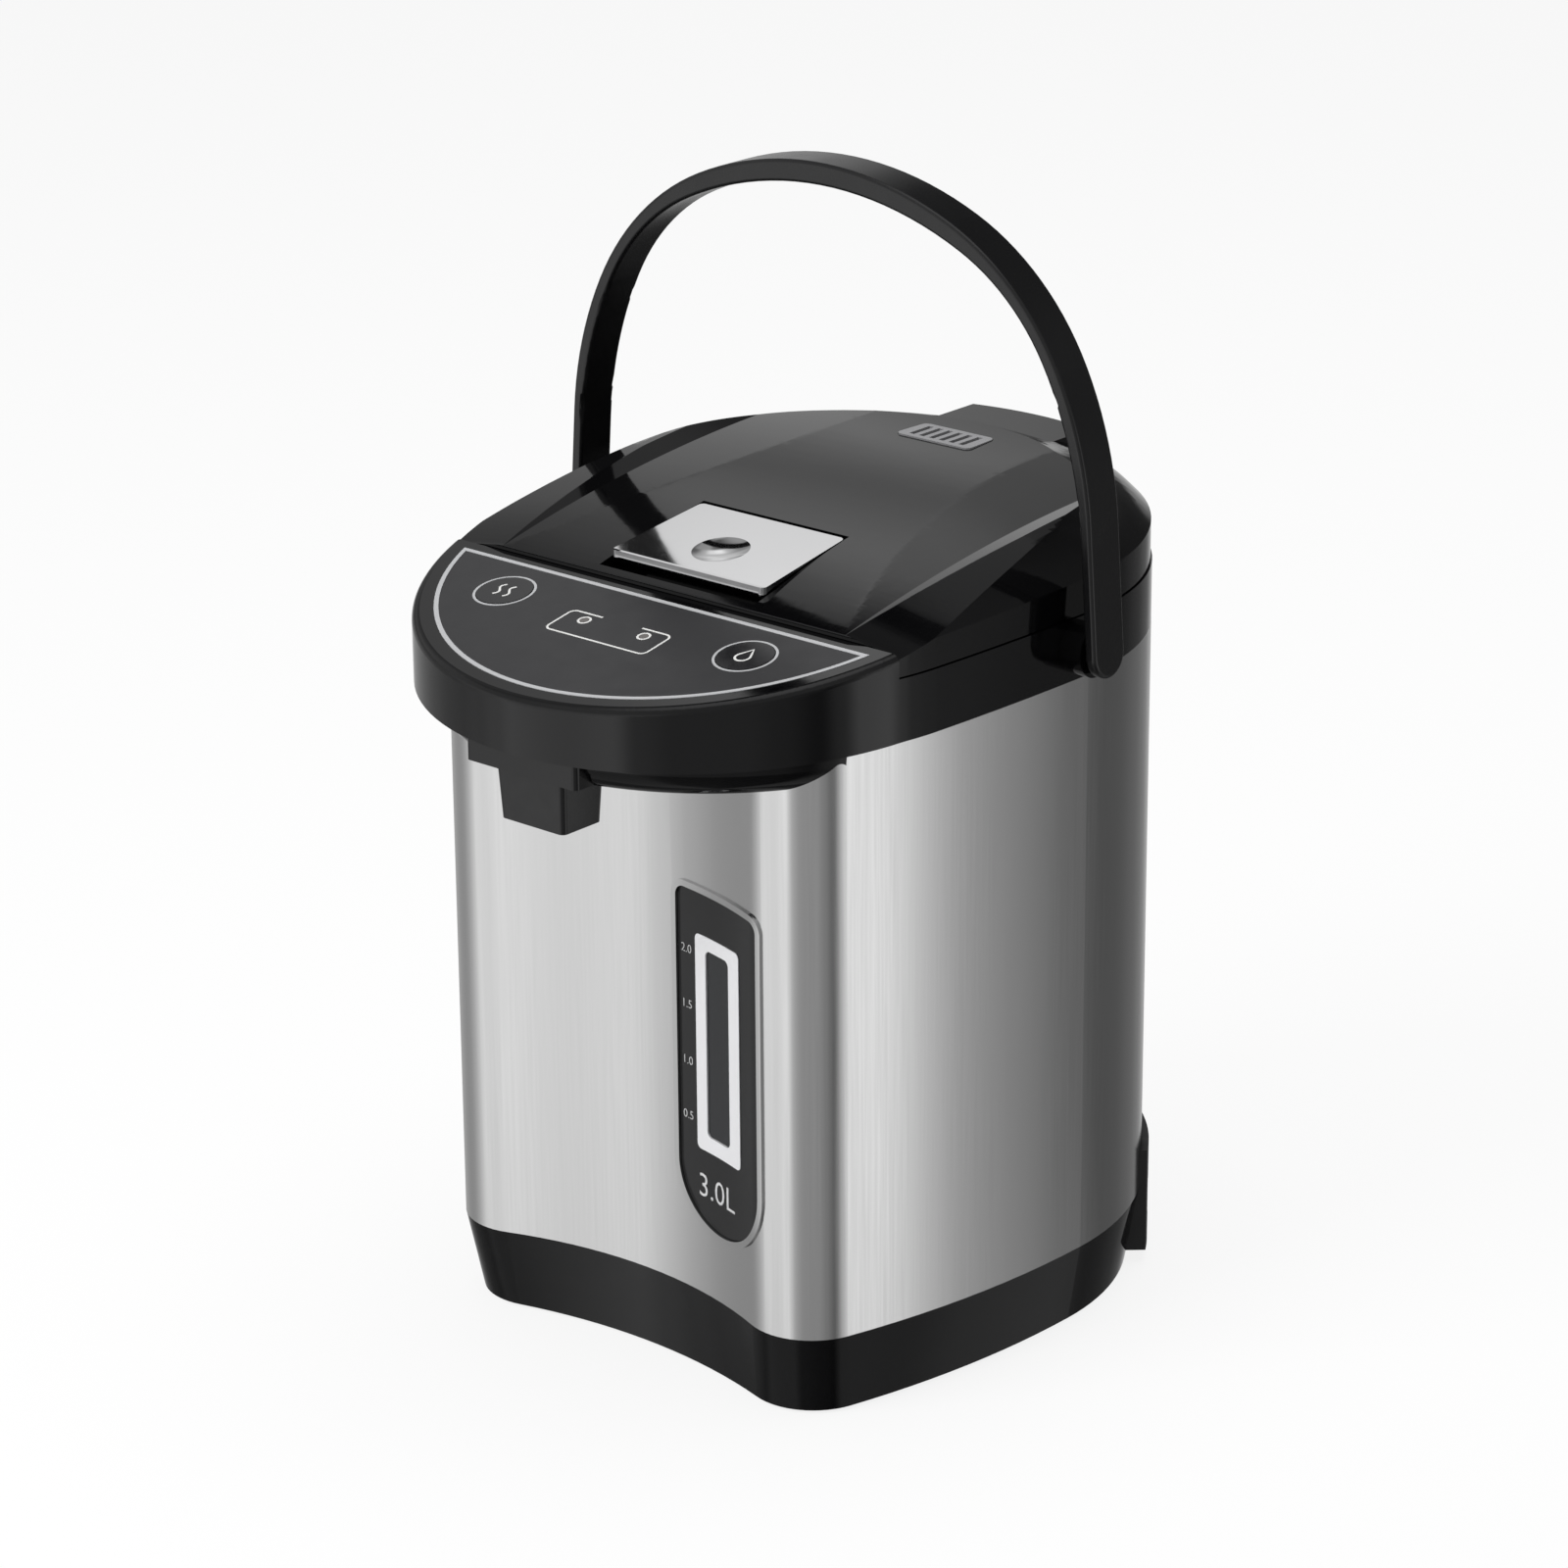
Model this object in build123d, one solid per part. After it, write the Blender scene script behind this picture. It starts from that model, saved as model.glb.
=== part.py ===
from build123d import *
from math import asin, atan2, cos, degrees, hypot, radians, sin, sqrt, tan
import os

# Electric thermo pot, 3.0 litre.  Millimetres.  X = 0 is the plane of symmetry, -Y is the front with
# the spout, +Z is up, Z = 0 is the floor under the feet.  The nose front and the rear of the body lie
# equally far from Y = 0.

# ---- body in plan: round at the back, hollow at the front where the cup stands
REAR_R = 104.0            # round back
REAR_Y = 33.5             # its centre, also the axis of the inner tank
SIDE_R = 341.0            # long gentle arcs of the flanks
CORNER_R = 23.0           # front corners
FRONT_R = 156.0           # hollow front
FRONT_Y = -75.2           # deepest point of the hollow front
FOOT_REAR_R = REAR_R - 5.0        # the skirt draws in towards the floor
FOOT_FRONT_R = 200.0
FOOT_FRONT_Y = -74.1
NOSE_R = REAR_R - 2.5     # round nose above the spout
NOSE_Y = -36.0

# ---- heights
FOOT_H = 1.2              # rubber feet stand out below the skirt
FOOT_R = 8.0
SKIRT_TOP = 30.2
STEEL_TOP = 240.0         # lower edge of the collar
DECK_Z = STEEL_TOP + 16.0 # deck inside the collar, carries the tank flange
SEAM_Z = STEEL_TOP + 21.5 # parting line between collar and lid
LID_CREASE_Z = SEAM_Z + 9.8   # top of the lid's side wall at its front corner
LOW = STEEL_TOP - 40.0    # construction solids of the head start below this
HIGH = STEEL_TOP + 80.0   # and end above this

# ---- walls and fits
STEEL_T = 0.8
SKIRT_T = 2.5
COLLAR_T = 2.5
LID_T = 2.5
FIT = 0.3                 # between loose neighbours
TUCK = 0.15               # between a plug-in wall and its socket
RUN = 0.05                # radial running clearance of pins in bores
LID_GAP = 0.4             # seam under the lid

# ---- lid
LID_FRONT_Y = -58.5
DOME_R = 600.0            # lid top, an arc from front to back
DOME_Y = 95.0
DOME_Z = SEAM_Z + 30.0
VALLEY_R = 686.0          # the two creases beside the centre field
VALLEY_Z = DOME_Z - 2.6
VALLEY_X = 76.0
VALLEY_OUT = 13.3         # degrees, slope of the outer bank
VALLEY_BANK = 8.6         # its width, up to the crest
FIELD_FALL = 9.0          # degrees, fall of the outer field beyond the crest
VALLEY_IN = 4.1           # degrees, slope of the inner bank
SHOULDER = [              # rise over the front crease, inset, climb to the rear in degrees
    (0.0, 0.0, 1.6), (5.8, 4.5, 1.2), (11.6, 9.5, 0.6), (18.0, 16.0, -0.6), (23.5, 26.0, -1.6), (28.0, 36.0, -2.0),
]
STEAM_Y = 86.0            # steam outlet
LID_SWING = 25.0          # degrees, until the lid meets the upright bail

# ---- control nose
PANEL_Y = -61.0           # rear edge of the sloping top
PANEL_Z = SEAM_Z + 7.8
PANEL_TILT = 10.3         # degrees
NOSE_ROOT_Y = -57.0
NOSE_DROP = 3.2           # degrees, the lower edge falls towards the front
NOSE_ROUND = 3.0
PANEL_R = NOSE_R - 7.4    # outline of the inlaid panel
PANEL_CHORD_Y = -63.3
TRIM_W = 1.6
PLATE_T = 1.2
BUTTON_X = 53.5
BUTTON_Y = -81.8
BUTTON_R = 9.7
BUTTON_UP = 0.3           # cap above the panel
BUTTON_DOWN = 2.9         # cap below it, down to the catch under the roof
BUTTON_TRAVEL = 0.8
RING_W = 0.9
BOARD_DOWN = 8.0          # top of the circuit board below the panel
BOARD_Y0 = -99.0
BOARD_Y1 = -66.0
LED_X = 13.2
LED_Y = -86.0
LED_R = 1.7

# ---- spout
HULL_R = NOSE_R - 6.0     # moulded cover under the nose
HULL_DRAFT = 1.5
HULL_Z = STEEL_TOP - 15.0
HULL_END_Y = -72.0        # where it runs out on the body's corner
HULL_ROUND = 9.0
BLOCK_W = 49.2            # step above the spout
BLOCK_FRONT_Y = -131.8
BLOCK_Z = STEEL_TOP - 13.6
SPOUT_W = 30.0
SPOUT_FRONT_Y = -128.0
SPOUT_DEPTH = 20.5
SPOUT_Z = BLOCK_Z - 19.1
SPOUT_TAPER = 3.0         # degrees
SPOUT_T = 2.0
PIPE_R = 4.5              # outlet pipe, outside
PIPE_BORE = 3.3

# ---- level gauge, right of the centre on the hollow front
GAUGE_X = 39.5
GAUGE_W = 45.0
GAUGE_Z0 = 55.5
GAUGE_Z1 = 177.0
GAUGE_CORNER = 4.0
RIM_W = 2.2
RIM_H = 0.9
FRAME_X = 38.3
FRAME_W = 24.6
FRAME_Z0 = 83.8
FRAME_Z1 = 161.8
WINDOW_W = 12.9
WINDOW_Z0 = 89.4
WINDOW_Z1 = 157.0
TUBE_R = 5.0
TUBE_BORE = 3.8
TUBE_X = GAUGE_X - 1.2
TUBE_Y = -69.0

# ---- handle
PIVOT_Y = 26.5
PIVOT_Z = SEAM_Z - 9.7
APEX_Z = PIVOT_Z + 149.3
BAIL_W = 16.4             # strap width, front to back
BAIL_TURNS = [24.0, 39.0, 23.0]      # three tangent arcs from the apex down, outer edge
BAIL_END_R = [135.8, 129.4]          # radius of the first and last arc
INNER_TURNS = [25.0, 38.0, 23.0]
INNER_END_R = [141.0, 140.4]
GRIP_T = 7.8              # strap thickness at the apex
LEG_T = 4.4               # strap thickness at the pivot
BAIL_ROUND = 1.4
BOSS_R = 9.0
PIN_R = 4.0
PIN_L = 3.0               # reach into the leg
BOSS_L = 8.6              # boss length outside the flank
BOSS_GAP = 1.2            # between boss and leg
SPIGOT_R = 5.0            # plugs into the collar
SPIGOT_L = 3.4

# ---- chrome release plate
LATCH_W = 68.0
LATCH_REAR_W = 64.0
LATCH_Y0 = -50.5
LATCH_Y1 = -6.6
LATCH_Z0 = SEAM_Z + 14.9
LATCH_Z1 = LATCH_Z0 + 6.4
LATCH_T = 2.2
LATCH_UNDER = 1.0         # free space under the plate
LATCH_LIP = 3.6
LATCH_PIN_R = 1.25
LATCH_PIN_DOWN = 4.4      # pin below the plate's top
LATCH_LIFT = 12.0         # degrees
LATCH_REAR_GAP = 1.6      # room for the rear edge to swing
DIMPLE_Y = LATCH_Y0 + 13.0
DIMPLE_R = 8.85           # outline of the finger dimple
DIMPLE_DEEP = 1.2
SLIDER_W = 16.0
BOLT_Y = -52.0
SLIDER_T = 2.0

# ---- rear hinge
HINGE_Y = 126.0
HINGE_Z = SEAM_Z + 6.5
HINGE_PIN_R = 2.0
HINGE_W = 52.0            # fixed block
HINGE_FRONT_Y = 111.0
HINGE_TOP_Z = DOME_Z - 3.2
EAR_R = 4.5
EAR_T = 4.0

# ---- inside
TANK_R = 76.0
TANK_T = 0.8
TANK_Z = 62.0
TANK_ROUND = 3.0
FLANGE_R = 82.0
PUMP_X = 23.6
PUMP_Y = 0.0
PUMP_R = 20.0
PUMP_Z0 = 33.0
PUMP_Z1 = 47.0
MOTOR_R = 13.5
HOSE_R = 5.0
HOSE_BORE = 3.5
BASE_Z = 3.6              # underside of the base plate
BASE_T = 2.4
INLET_AZ = 42.0           # degrees from +X, power socket on the rear right
INLET_W = 40.0
INLET_Z0 = 5.0
INLET_Z1 = 44.0
INLET_OUT = 2.6           # stands out from the steel

BIG = 400.0
OUT = {}


def keep(name, *solids):
    """One sub-part; more than one solid makes a group."""
    OUT[name] = solids[0] if len(solids) == 1 else Compound(children=list(solids))


def along(a, b, length):
    """Point at a length from a towards b."""
    d = hypot(b[0] - a[0], b[1] - a[1])
    return (a[0] + (b[0] - a[0]) * length / d, a[1] + (b[1] - a[1]) * length / d)


def minor_arc(c, a, b):
    r = hypot(a[0] - c[0], a[1] - c[1])
    mid = along(c, ((a[0] + b[0]) / 2, (a[1] + b[1]) / 2), r)
    return ThreePointArc(a, mid, b)


def flip(p):
    return (-p[0], p[1])


def circles_cross(c1, r1, c2, r2):
    """Right-hand crossing of two circles."""
    dx, dy = c2[0] - c1[0], c2[1] - c1[1]
    d = hypot(dx, dy)
    a = (r1 * r1 - r2 * r2 + d * d) / (2 * d)
    h = sqrt(r1 * r1 - a * a)
    px, py = c1[0] + a * dx / d, c1[1] + a * dy / d
    return max((px + h * dy / d, py - h * dx / d), (px - h * dy / d, py + h * dx / d))


def body_plan(inset=0.0, rear_r=REAR_R, front_r=FRONT_R, front_y=FRONT_Y):
    """Plan of the body: hollow front, round corners, gentle flanks, round back, all tangent."""
    side_c = (rear_r - SIDE_R, REAR_Y)
    front_c = (0, front_y - front_r)
    corner_c = circles_cross(side_c, SIDE_R - CORNER_R, front_c, front_r + CORNER_R)
    p_side = along(side_c, corner_c, SIDE_R - inset)
    p_front = along(front_c, corner_c, front_r + inset)
    p_rear = (rear_r - inset, REAR_Y)
    edges = [
        ThreePointArc(flip(p_front), (0, front_y + inset), p_front),
        minor_arc(corner_c, p_front, p_side),
        minor_arc(side_c, p_side, p_rear),
        ThreePointArc(p_rear, (0, REAR_Y + rear_r - inset), flip(p_rear)),
        minor_arc(flip(side_c), flip(p_rear), flip(p_side)),
        minor_arc(flip(corner_c), flip(p_side), flip(p_front)),
    ]
    return make_face(edges)


def foot_plan(inset=0.0):
    return body_plan(inset, FOOT_REAR_R, FOOT_FRONT_R, FOOT_FRONT_Y)


def head_plan(inset=0.0):
    """Plan of collar and lid: round nose, flanks and round back, all tangent."""
    side_r = (REAR_R**2 + (REAR_Y - NOSE_Y)**2 - NOSE_R**2) / (2 * (REAR_R - NOSE_R))
    side_c = (REAR_R - side_r, REAR_Y)
    side = -1 if side_r > 0 else 1
    p_nose = along((0, NOSE_Y), side_c, side * (NOSE_R - inset))
    p_rear = (REAR_R - inset, REAR_Y)
    edges = [
        ThreePointArc(flip(p_nose), (0, NOSE_Y - NOSE_R + inset), p_nose),
        minor_arc(side_c, p_nose, p_rear),
        ThreePointArc(p_rear, (0, REAR_Y + REAR_R - inset), flip(p_rear)),
        minor_arc(flip(side_c), flip(p_rear), flip(p_nose)),
    ]
    return make_face(edges)


def prism(face, z0, z1):
    return extrude(Pos(0, 0, z0) * face, z1 - z0)


def side_view(*points, half=BIG / 2):
    """Solid with the given outline in the YZ plane, as wide as needed."""
    outline = Polyline(*[(0, y, z) for y, z in points], close=True)
    return extrude(make_face(outline), half, dir=(1, 0, 0), both=True)


def box(x0, x1, y0, y1, z0, z1):
    return Pos((x0 + x1) / 2, (y0 + y1) / 2, (z0 + z1) / 2) * Box(abs(x1 - x0), y1 - y0, z1 - z0)


def rod(r, x, y, z0, z1):
    return Pos(x, y, (z0 + z1) / 2) * Cylinder(r, z1 - z0)


def cross_rod(r, y, z, x0, x1):
    return Pos((x0 + x1) / 2, y, z) * Rot(0, 90, 0) * Cylinder(r, abs(x1 - x0))


def tube_along(points, bends, r, bore):
    """Bent tube: straight runs joined by tangent arcs."""
    path = FilletPolyline(*points, radius=bends)
    start = Plane(origin=path @ 0, z_dir=path % 0)
    return sweep(start * (Circle(r) - Circle(bore)), path=path)


# ---------------------------------------------------------------- skirt, base plate and feet
def skirt_shape(inset, z0, z1):
    """Drafted skirt between two plans, cut to a height range."""
    draft = loft([Pos(0, 0, FOOT_H) * foot_plan(inset), Pos(0, 0, SKIRT_TOP) * body_plan(inset)], ruled=True)
    return draft & box(-BIG, BIG, -BIG, BIG, z0, z1)


def screw_spots():
    return [(sx * x, y) for sx in (-1, 1) for x, y in ((62.0, -44.0), (38.0, 108.0))]


def make_base():
    skirt = skirt_shape(0, FOOT_H, SKIRT_TOP) - skirt_shape(SKIRT_T, FOOT_H - 1, SKIRT_TOP - SKIRT_T)
    skirt -= prism(body_plan(8.0), 0, SKIRT_TOP + 1)
    lip = prism(body_plan(STEEL_T + TUCK), SKIRT_TOP, SKIRT_TOP + 6)
    skirt += lip - prism(body_plan(STEEL_T + TUCK + 2.0), SKIRT_TOP - 1, SKIRT_TOP + 7)
    for x, y in screw_spots():
        post = rod(5.0, x, y, BASE_Z + BASE_T, SKIRT_TOP - SKIRT_T)
        reach = box(x, x * 1.7, y - 1.5, y + 1.5, SKIRT_TOP - SKIRT_T - 9, SKIRT_TOP - SKIRT_T)
        if y > REAR_Y:
            reach = box(x - 1.5, x + 1.5, y, y + 30, SKIRT_TOP - SKIRT_T - 9, SKIRT_TOP - SKIRT_T)
        skirt += (post + reach) & skirt_shape(SKIRT_T / 2, FOOT_H, SKIRT_TOP)
        skirt -= rod(1.6, x, y, BASE_Z, BASE_Z + BASE_T + 10)
    keep("base_skirt", skirt - inlet_box(FIT, INLET_Z0 - FIT, BIG))

    plate = prism(foot_plan(SKIRT_T + FIT + 1.0), BASE_Z, BASE_Z + BASE_T)
    for x, y in screw_spots():
        plate -= rod(1.9, x, y, 0, 20) + rod(3.6, x, y, BASE_Z - 1, BASE_Z + 1.4)
    for i in range(-4, 5):
        plate -= box(i * 8 - 1.5, i * 8 + 1.5, 38, 62, 0, 20)
    for x, y in foot_spots():
        plate -= rod(FOOT_R + FIT, x, y, BASE_Z - 1, BASE_Z + 1.0)
    keep("base_plate", plate - inlet_box(FIT, 0, BIG))
    feet = [rod(FOOT_R, x, y, 0, BASE_Z + 1.0) for x, y in foot_spots()]
    keep("rubber_feet", *feet)
    heads = []
    for x, y in screw_spots():
        heads.append(rod(3.2, x, y, BASE_Z - 0.6, BASE_Z + 1.4) + rod(1.5, x, y, BASE_Z, BASE_Z + BASE_T + 8))
    keep("base_screws", *heads)


def foot_spots():
    return [(sx * 70.0, y) for sx in (-1, 1) for y in (-64.0, 68.0)]


# ---------------------------------------------------------------- steel body with the embossed gauge rim
def gauge_outline(x, w, z0, z1, corner, grow=0.0):
    """Gauge label seen from the front: square top, round bottom."""
    half = w / 2 + grow
    low = z0 + w / 2
    top = z1 + grow
    edges = [
        Line((x - half, 0, low), (x - half, 0, top - corner)),
        minor_arc_xz((x - half + corner, top - corner), (x - half, top - corner), (x - half + corner, top)),
        Line((x - half + corner, 0, top), (x + half - corner, 0, top)),
        minor_arc_xz((x + half - corner, top - corner), (x + half - corner, top), (x + half, top - corner)),
        Line((x + half, 0, top - corner), (x + half, 0, low)),
        ThreePointArc((x + half, 0, low), (x, 0, low - half), (x - half, 0, low)),
    ]
    return make_face(edges)


def minor_arc_xz(c, a, b):
    r = hypot(a[0] - c[0], a[1] - c[1])
    mid = along(c, ((a[0] + b[0]) / 2, (a[1] + b[1]) / 2), r)
    return ThreePointArc((a[0], 0, a[1]), (mid[0], 0, mid[1]), (b[0], 0, b[1]))


def window_outline(x, w, z0, z1, r):
    return Plane.XZ * Pos(x, (z0 + z1) / 2) * RectangleRounded(w, z1 - z0, r)


def front_skin(face, depth0, depth1):
    """Part of the front wall inside an outline, between two depths behind the outer surface."""
    block = extrude(face, 30, dir=(0, 1, 0), both=True)
    block = Pos(0, FRONT_Y, 0) * block
    band = prism(body_plan(depth0), SKIRT_TOP, STEEL_TOP) - prism(body_plan(depth1), SKIRT_TOP, STEEL_TOP)
    return block & band


def gauge_face(grow=0.0):
    return gauge_outline(GAUGE_X, GAUGE_W, GAUGE_Z0, GAUGE_Z1, GAUGE_CORNER + grow, grow)


def make_body():
    steel = prism(body_plan(), SKIRT_TOP, STEEL_TOP) - prism(body_plan(STEEL_T), SKIRT_TOP, STEEL_TOP)
    rim = front_skin(gauge_face(RIM_W) - gauge_face(), -RIM_H, STEEL_T)
    steel = steel + rim - front_skin(gauge_face(), -5, 5)
    steel -= inlet_box(FIT, 0, INLET_Z1 + FIT)
    keep("steel_body", steel)

    label = front_skin(gauge_face(-TUCK), 0.2, 0.2 + PLATE_T)
    label += front_skin(gauge_face(RIM_W) - gauge_face(-2.0), STEEL_T + TUCK, STEEL_T + TUCK + 1.4)
    frame_face = window_outline(FRAME_X, FRAME_W, FRAME_Z0, FRAME_Z1, 2.0)
    window_face = window_outline(FRAME_X - 0.4, WINDOW_W, WINDOW_Z0, WINDOW_Z1, 2.2)
    label -= front_skin(frame_face, -5, 0.9)
    label -= front_skin(window_face, -5, 6)
    keep("gauge_label", label)
    keep("gauge_frame", front_skin(frame_face, -0.1, 0.9) - front_skin(window_face, -5, 6))
    pane_face = window_outline(FRAME_X - 0.4, WINDOW_W - 0.3, WINDOW_Z0 + 0.15, WINDOW_Z1 - 0.15, 2.0)
    keep("gauge_window", front_skin(pane_face, 0.5, 0.5 + PLATE_T))


# ---------------------------------------------------------------- collar with the nose
def panel_z(y):
    return PANEL_Z + (y - PANEL_Y) * tan(radians(PANEL_TILT))


def panel_slab(lo, hi, y0=-BIG / 2, y1=LID_FRONT_Y):
    """Layer parallel to the sloping nose top."""
    return side_view((y0, panel_z(y0) + lo), (y1, panel_z(y1) + lo), (y1, panel_z(y1) + hi), (y0, panel_z(y0) + hi))


def nose_floor(y):
    return STEEL_TOP + (y - NOSE_ROOT_Y) * tan(radians(NOSE_DROP))


def head_profile(drop=0.0, y_step=LID_FRONT_Y - 0.5, top=SEAM_Z):
    """Side outline of collar and nose; drop lowers every upper face."""
    far = -BIG / 2
    return side_view((far, nose_floor(far)), (NOSE_ROOT_Y, STEEL_TOP), (BIG, STEEL_TOP), (BIG, top - drop),
                     (y_step - drop, top - drop), (y_step - drop, panel_z(y_step - drop) - drop),
                     (far, panel_z(far) - drop))


def on_nose_top(edge):
    p = edge @ 0.5
    return abs(hypot(p.X, p.Y - NOSE_Y) - NOSE_R) < 0.01 and abs(p.Z - panel_z(p.Y)) < 0.01


def make_collar():
    collar = prism(head_plan(), LOW, HIGH) & head_profile()
    collar = fillet(collar.edges().filter_by(on_nose_top), NOSE_ROUND)
    floor = side_view((-BIG, 0), (BIG, 0), (BIG, DECK_Z - COLLAR_T),
                      (LID_FRONT_Y - 0.5 - COLLAR_T, DECK_Z - COLLAR_T),
                      (LID_FRONT_Y - 0.5 - COLLAR_T, panel_z(LID_FRONT_Y - 0.5 - COLLAR_T) - COLLAR_T),
                      (-BIG, panel_z(-BIG) - COLLAR_T))
    collar -= prism(head_plan(COLLAR_T), LOW, HIGH) & floor
    pocket_y = LID_FRONT_Y - 0.5
    collar -= prism(head_plan(COLLAR_T + 0.5), DECK_Z, HIGH) & box(-BIG, BIG, pocket_y, BIG, DECK_Z, HIGH)
    collar -= rod(TANK_R + 0.5, 0, REAR_Y, LOW, HIGH)
    lip = prism(body_plan(STEEL_T + TUCK), STEEL_TOP - 6, DECK_Z - COLLAR_T)
    lip -= prism(body_plan(STEEL_T + TUCK + 2.0), LOW, HIGH)
    collar += lip & prism(head_plan(COLLAR_T / 2), LOW, HIGH) & box(-BIG, BIG, -20, BIG, LOW, HIGH)
    collar -= panel_seat(0.1) & panel_slab(-PLATE_T, 10)
    for x, y in board_posts():
        post = normal_at(x, y) * Pos(0, 0, -(BOARD_DOWN + COLLAR_T) / 2) * Cylinder(3.2, BOARD_DOWN - COLLAR_T + 0.4)
        collar += post & panel_slab(-BOARD_DOWN, -COLLAR_T + 0.2)
        collar -= normal_at(x, y) * Pos(0, 0, -BOARD_DOWN) * Cylinder(1.4 + TUCK, 6.4)
    for sx in (-1, 1):
        collar -= button_axis(sx) * Cylinder(BUTTON_R + FIT, 20)
        collar -= led_axis(sx) * Cylinder(LED_R + 0.1, 20)
        collar -= cross_rod(SPIGOT_R + TUCK, PIVOT_Y, PIVOT_Z, sx * (REAR_R - SPIGOT_L - FIT), sx * (REAR_R + 5))
    collar -= bolt_way(LOW, DECK_Z + 1)
    keep("collar", collar)


def make_bosses():
    """Pivot bosses with their pins, plugged into the collar's flanks."""
    x_seat = REAR_R + 0.05
    x_face = LEG_X - BOSS_GAP
    bosses = []
    for sx in (-1, 1):
        boss = cross_rod(BOSS_R, PIVOT_Y, PIVOT_Z, sx * x_seat, sx * x_face)
        spigot = cross_rod(SPIGOT_R, PIVOT_Y, PIVOT_Z, sx * (REAR_R - SPIGOT_L), sx * x_seat)
        pin = cross_rod(PIN_R, PIVOT_Y, PIVOT_Z, sx * x_face, sx * (x_face + BOSS_GAP + PIN_L))
        bosses.append(boss + spigot + pin)
    keep("handle_bosses", *bosses)


# ---------------------------------------------------------------- control panel
def normal_at(x, y):
    """Frame on the nose top, Z along its outward normal."""
    return Pos(x, y, panel_z(y)) * Rot(PANEL_TILT, 0, 0)


def button_axis(sx):
    return normal_at(sx * BUTTON_X, BUTTON_Y)


def led_axis(sx):
    return normal_at(sx * LED_X, LED_Y)


def panel_seat(grow=0.0, inner=0.0):
    """Segment outline of the panel as a tall prism."""
    r = PANEL_R + grow - inner
    chord = PANEL_CHORD_Y + grow - inner
    half = sqrt(r * r - (chord - NOSE_Y)**2)
    arc = ThreePointArc((-half, chord), (0, NOSE_Y - r), (half, chord))
    return prism(make_face([arc, Line((half, chord), (-half, chord))]), LOW, HIGH)


def make_panel():
    plate = panel_seat(0, TRIM_W) & panel_slab(-PLATE_T, 0)
    trim = (panel_seat() - panel_seat(0.0, TRIM_W)) & panel_slab(-PLATE_T, 0.15)
    rings, leds = [], []
    for sx in (-1, 1):
        plate -= button_axis(sx) * Cylinder(BUTTON_R + FIT, 20)
        plate -= led_axis(sx) * Cylinder(LED_R + 0.1, 20)
        seat = Pos(0, 0, 5 - 0.4) * Cylinder(BUTTON_R + FIT + RING_W, 10)
        plate -= button_axis(sx) * seat
        ring = Cylinder(BUTTON_R + FIT + RING_W, 0.5) - Cylinder(BUTTON_R + FIT, 1)
        rings.append(button_axis(sx) * Pos(0, 0, -0.15) * ring)
        leds.append(led_axis(sx) * Pos(0, 0, -2.0) * Cylinder(LED_R, 4.2))
        cap = Pos(0, 0, (BUTTON_UP - BUTTON_DOWN) / 2) * Cylinder(BUTTON_R, BUTTON_UP + BUTTON_DOWN)
        catch = Pos(0, 0, -BUTTON_DOWN - 0.5) * Cylinder(BUTTON_R + 1.3, 1.0)
        stem = Pos(0, 0, -BUTTON_DOWN - 1.65) * Cylinder(2.4, 1.3)
        keep("reboil_button" if sx < 0 else "dispense_button", button_axis(sx) * (cap + catch + stem))
    keep("control_panel", plate)
    keep("panel_trim", trim)
    keep("button_rings", *rings)
    keep("indicator_lenses", *leds)
    make_board()


def board_posts():
    return [(sx * x, y) for sx in (-1, 1) for x, y in ((34.0, -70.0), (34.0, -95.0))]


def make_board():
    """Circuit board under the nose roof, with a switch below each button."""
    board = box(-66, 66, BOARD_Y0, BOARD_Y1, LOW, HIGH) & panel_slab(-BOARD_DOWN - 1.6, -BOARD_DOWN)
    for sx in (-1, 1):
        top = -BUTTON_DOWN - 2.3 - BUTTON_TRAVEL - 0.2
        switch = Pos(0, 0, (top - BOARD_DOWN) / 2) * Box(6.0, 6.0, top + BOARD_DOWN)
        board += button_axis(sx) * switch
    screws = []
    for x, y in board_posts():
        board -= normal_at(x, y) * Cylinder(1.7, 30)
        head = Pos(0, 0, -BOARD_DOWN - 1.6 - 0.8) * Cylinder(2.8, 1.6)
        shank = Pos(0, 0, -BOARD_DOWN - 0.5) * Cylinder(1.4, 6.0)
        screws.append(normal_at(x, y) * (head + shank))
    keep("control_board", board)
    keep("board_screws", *screws)


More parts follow.
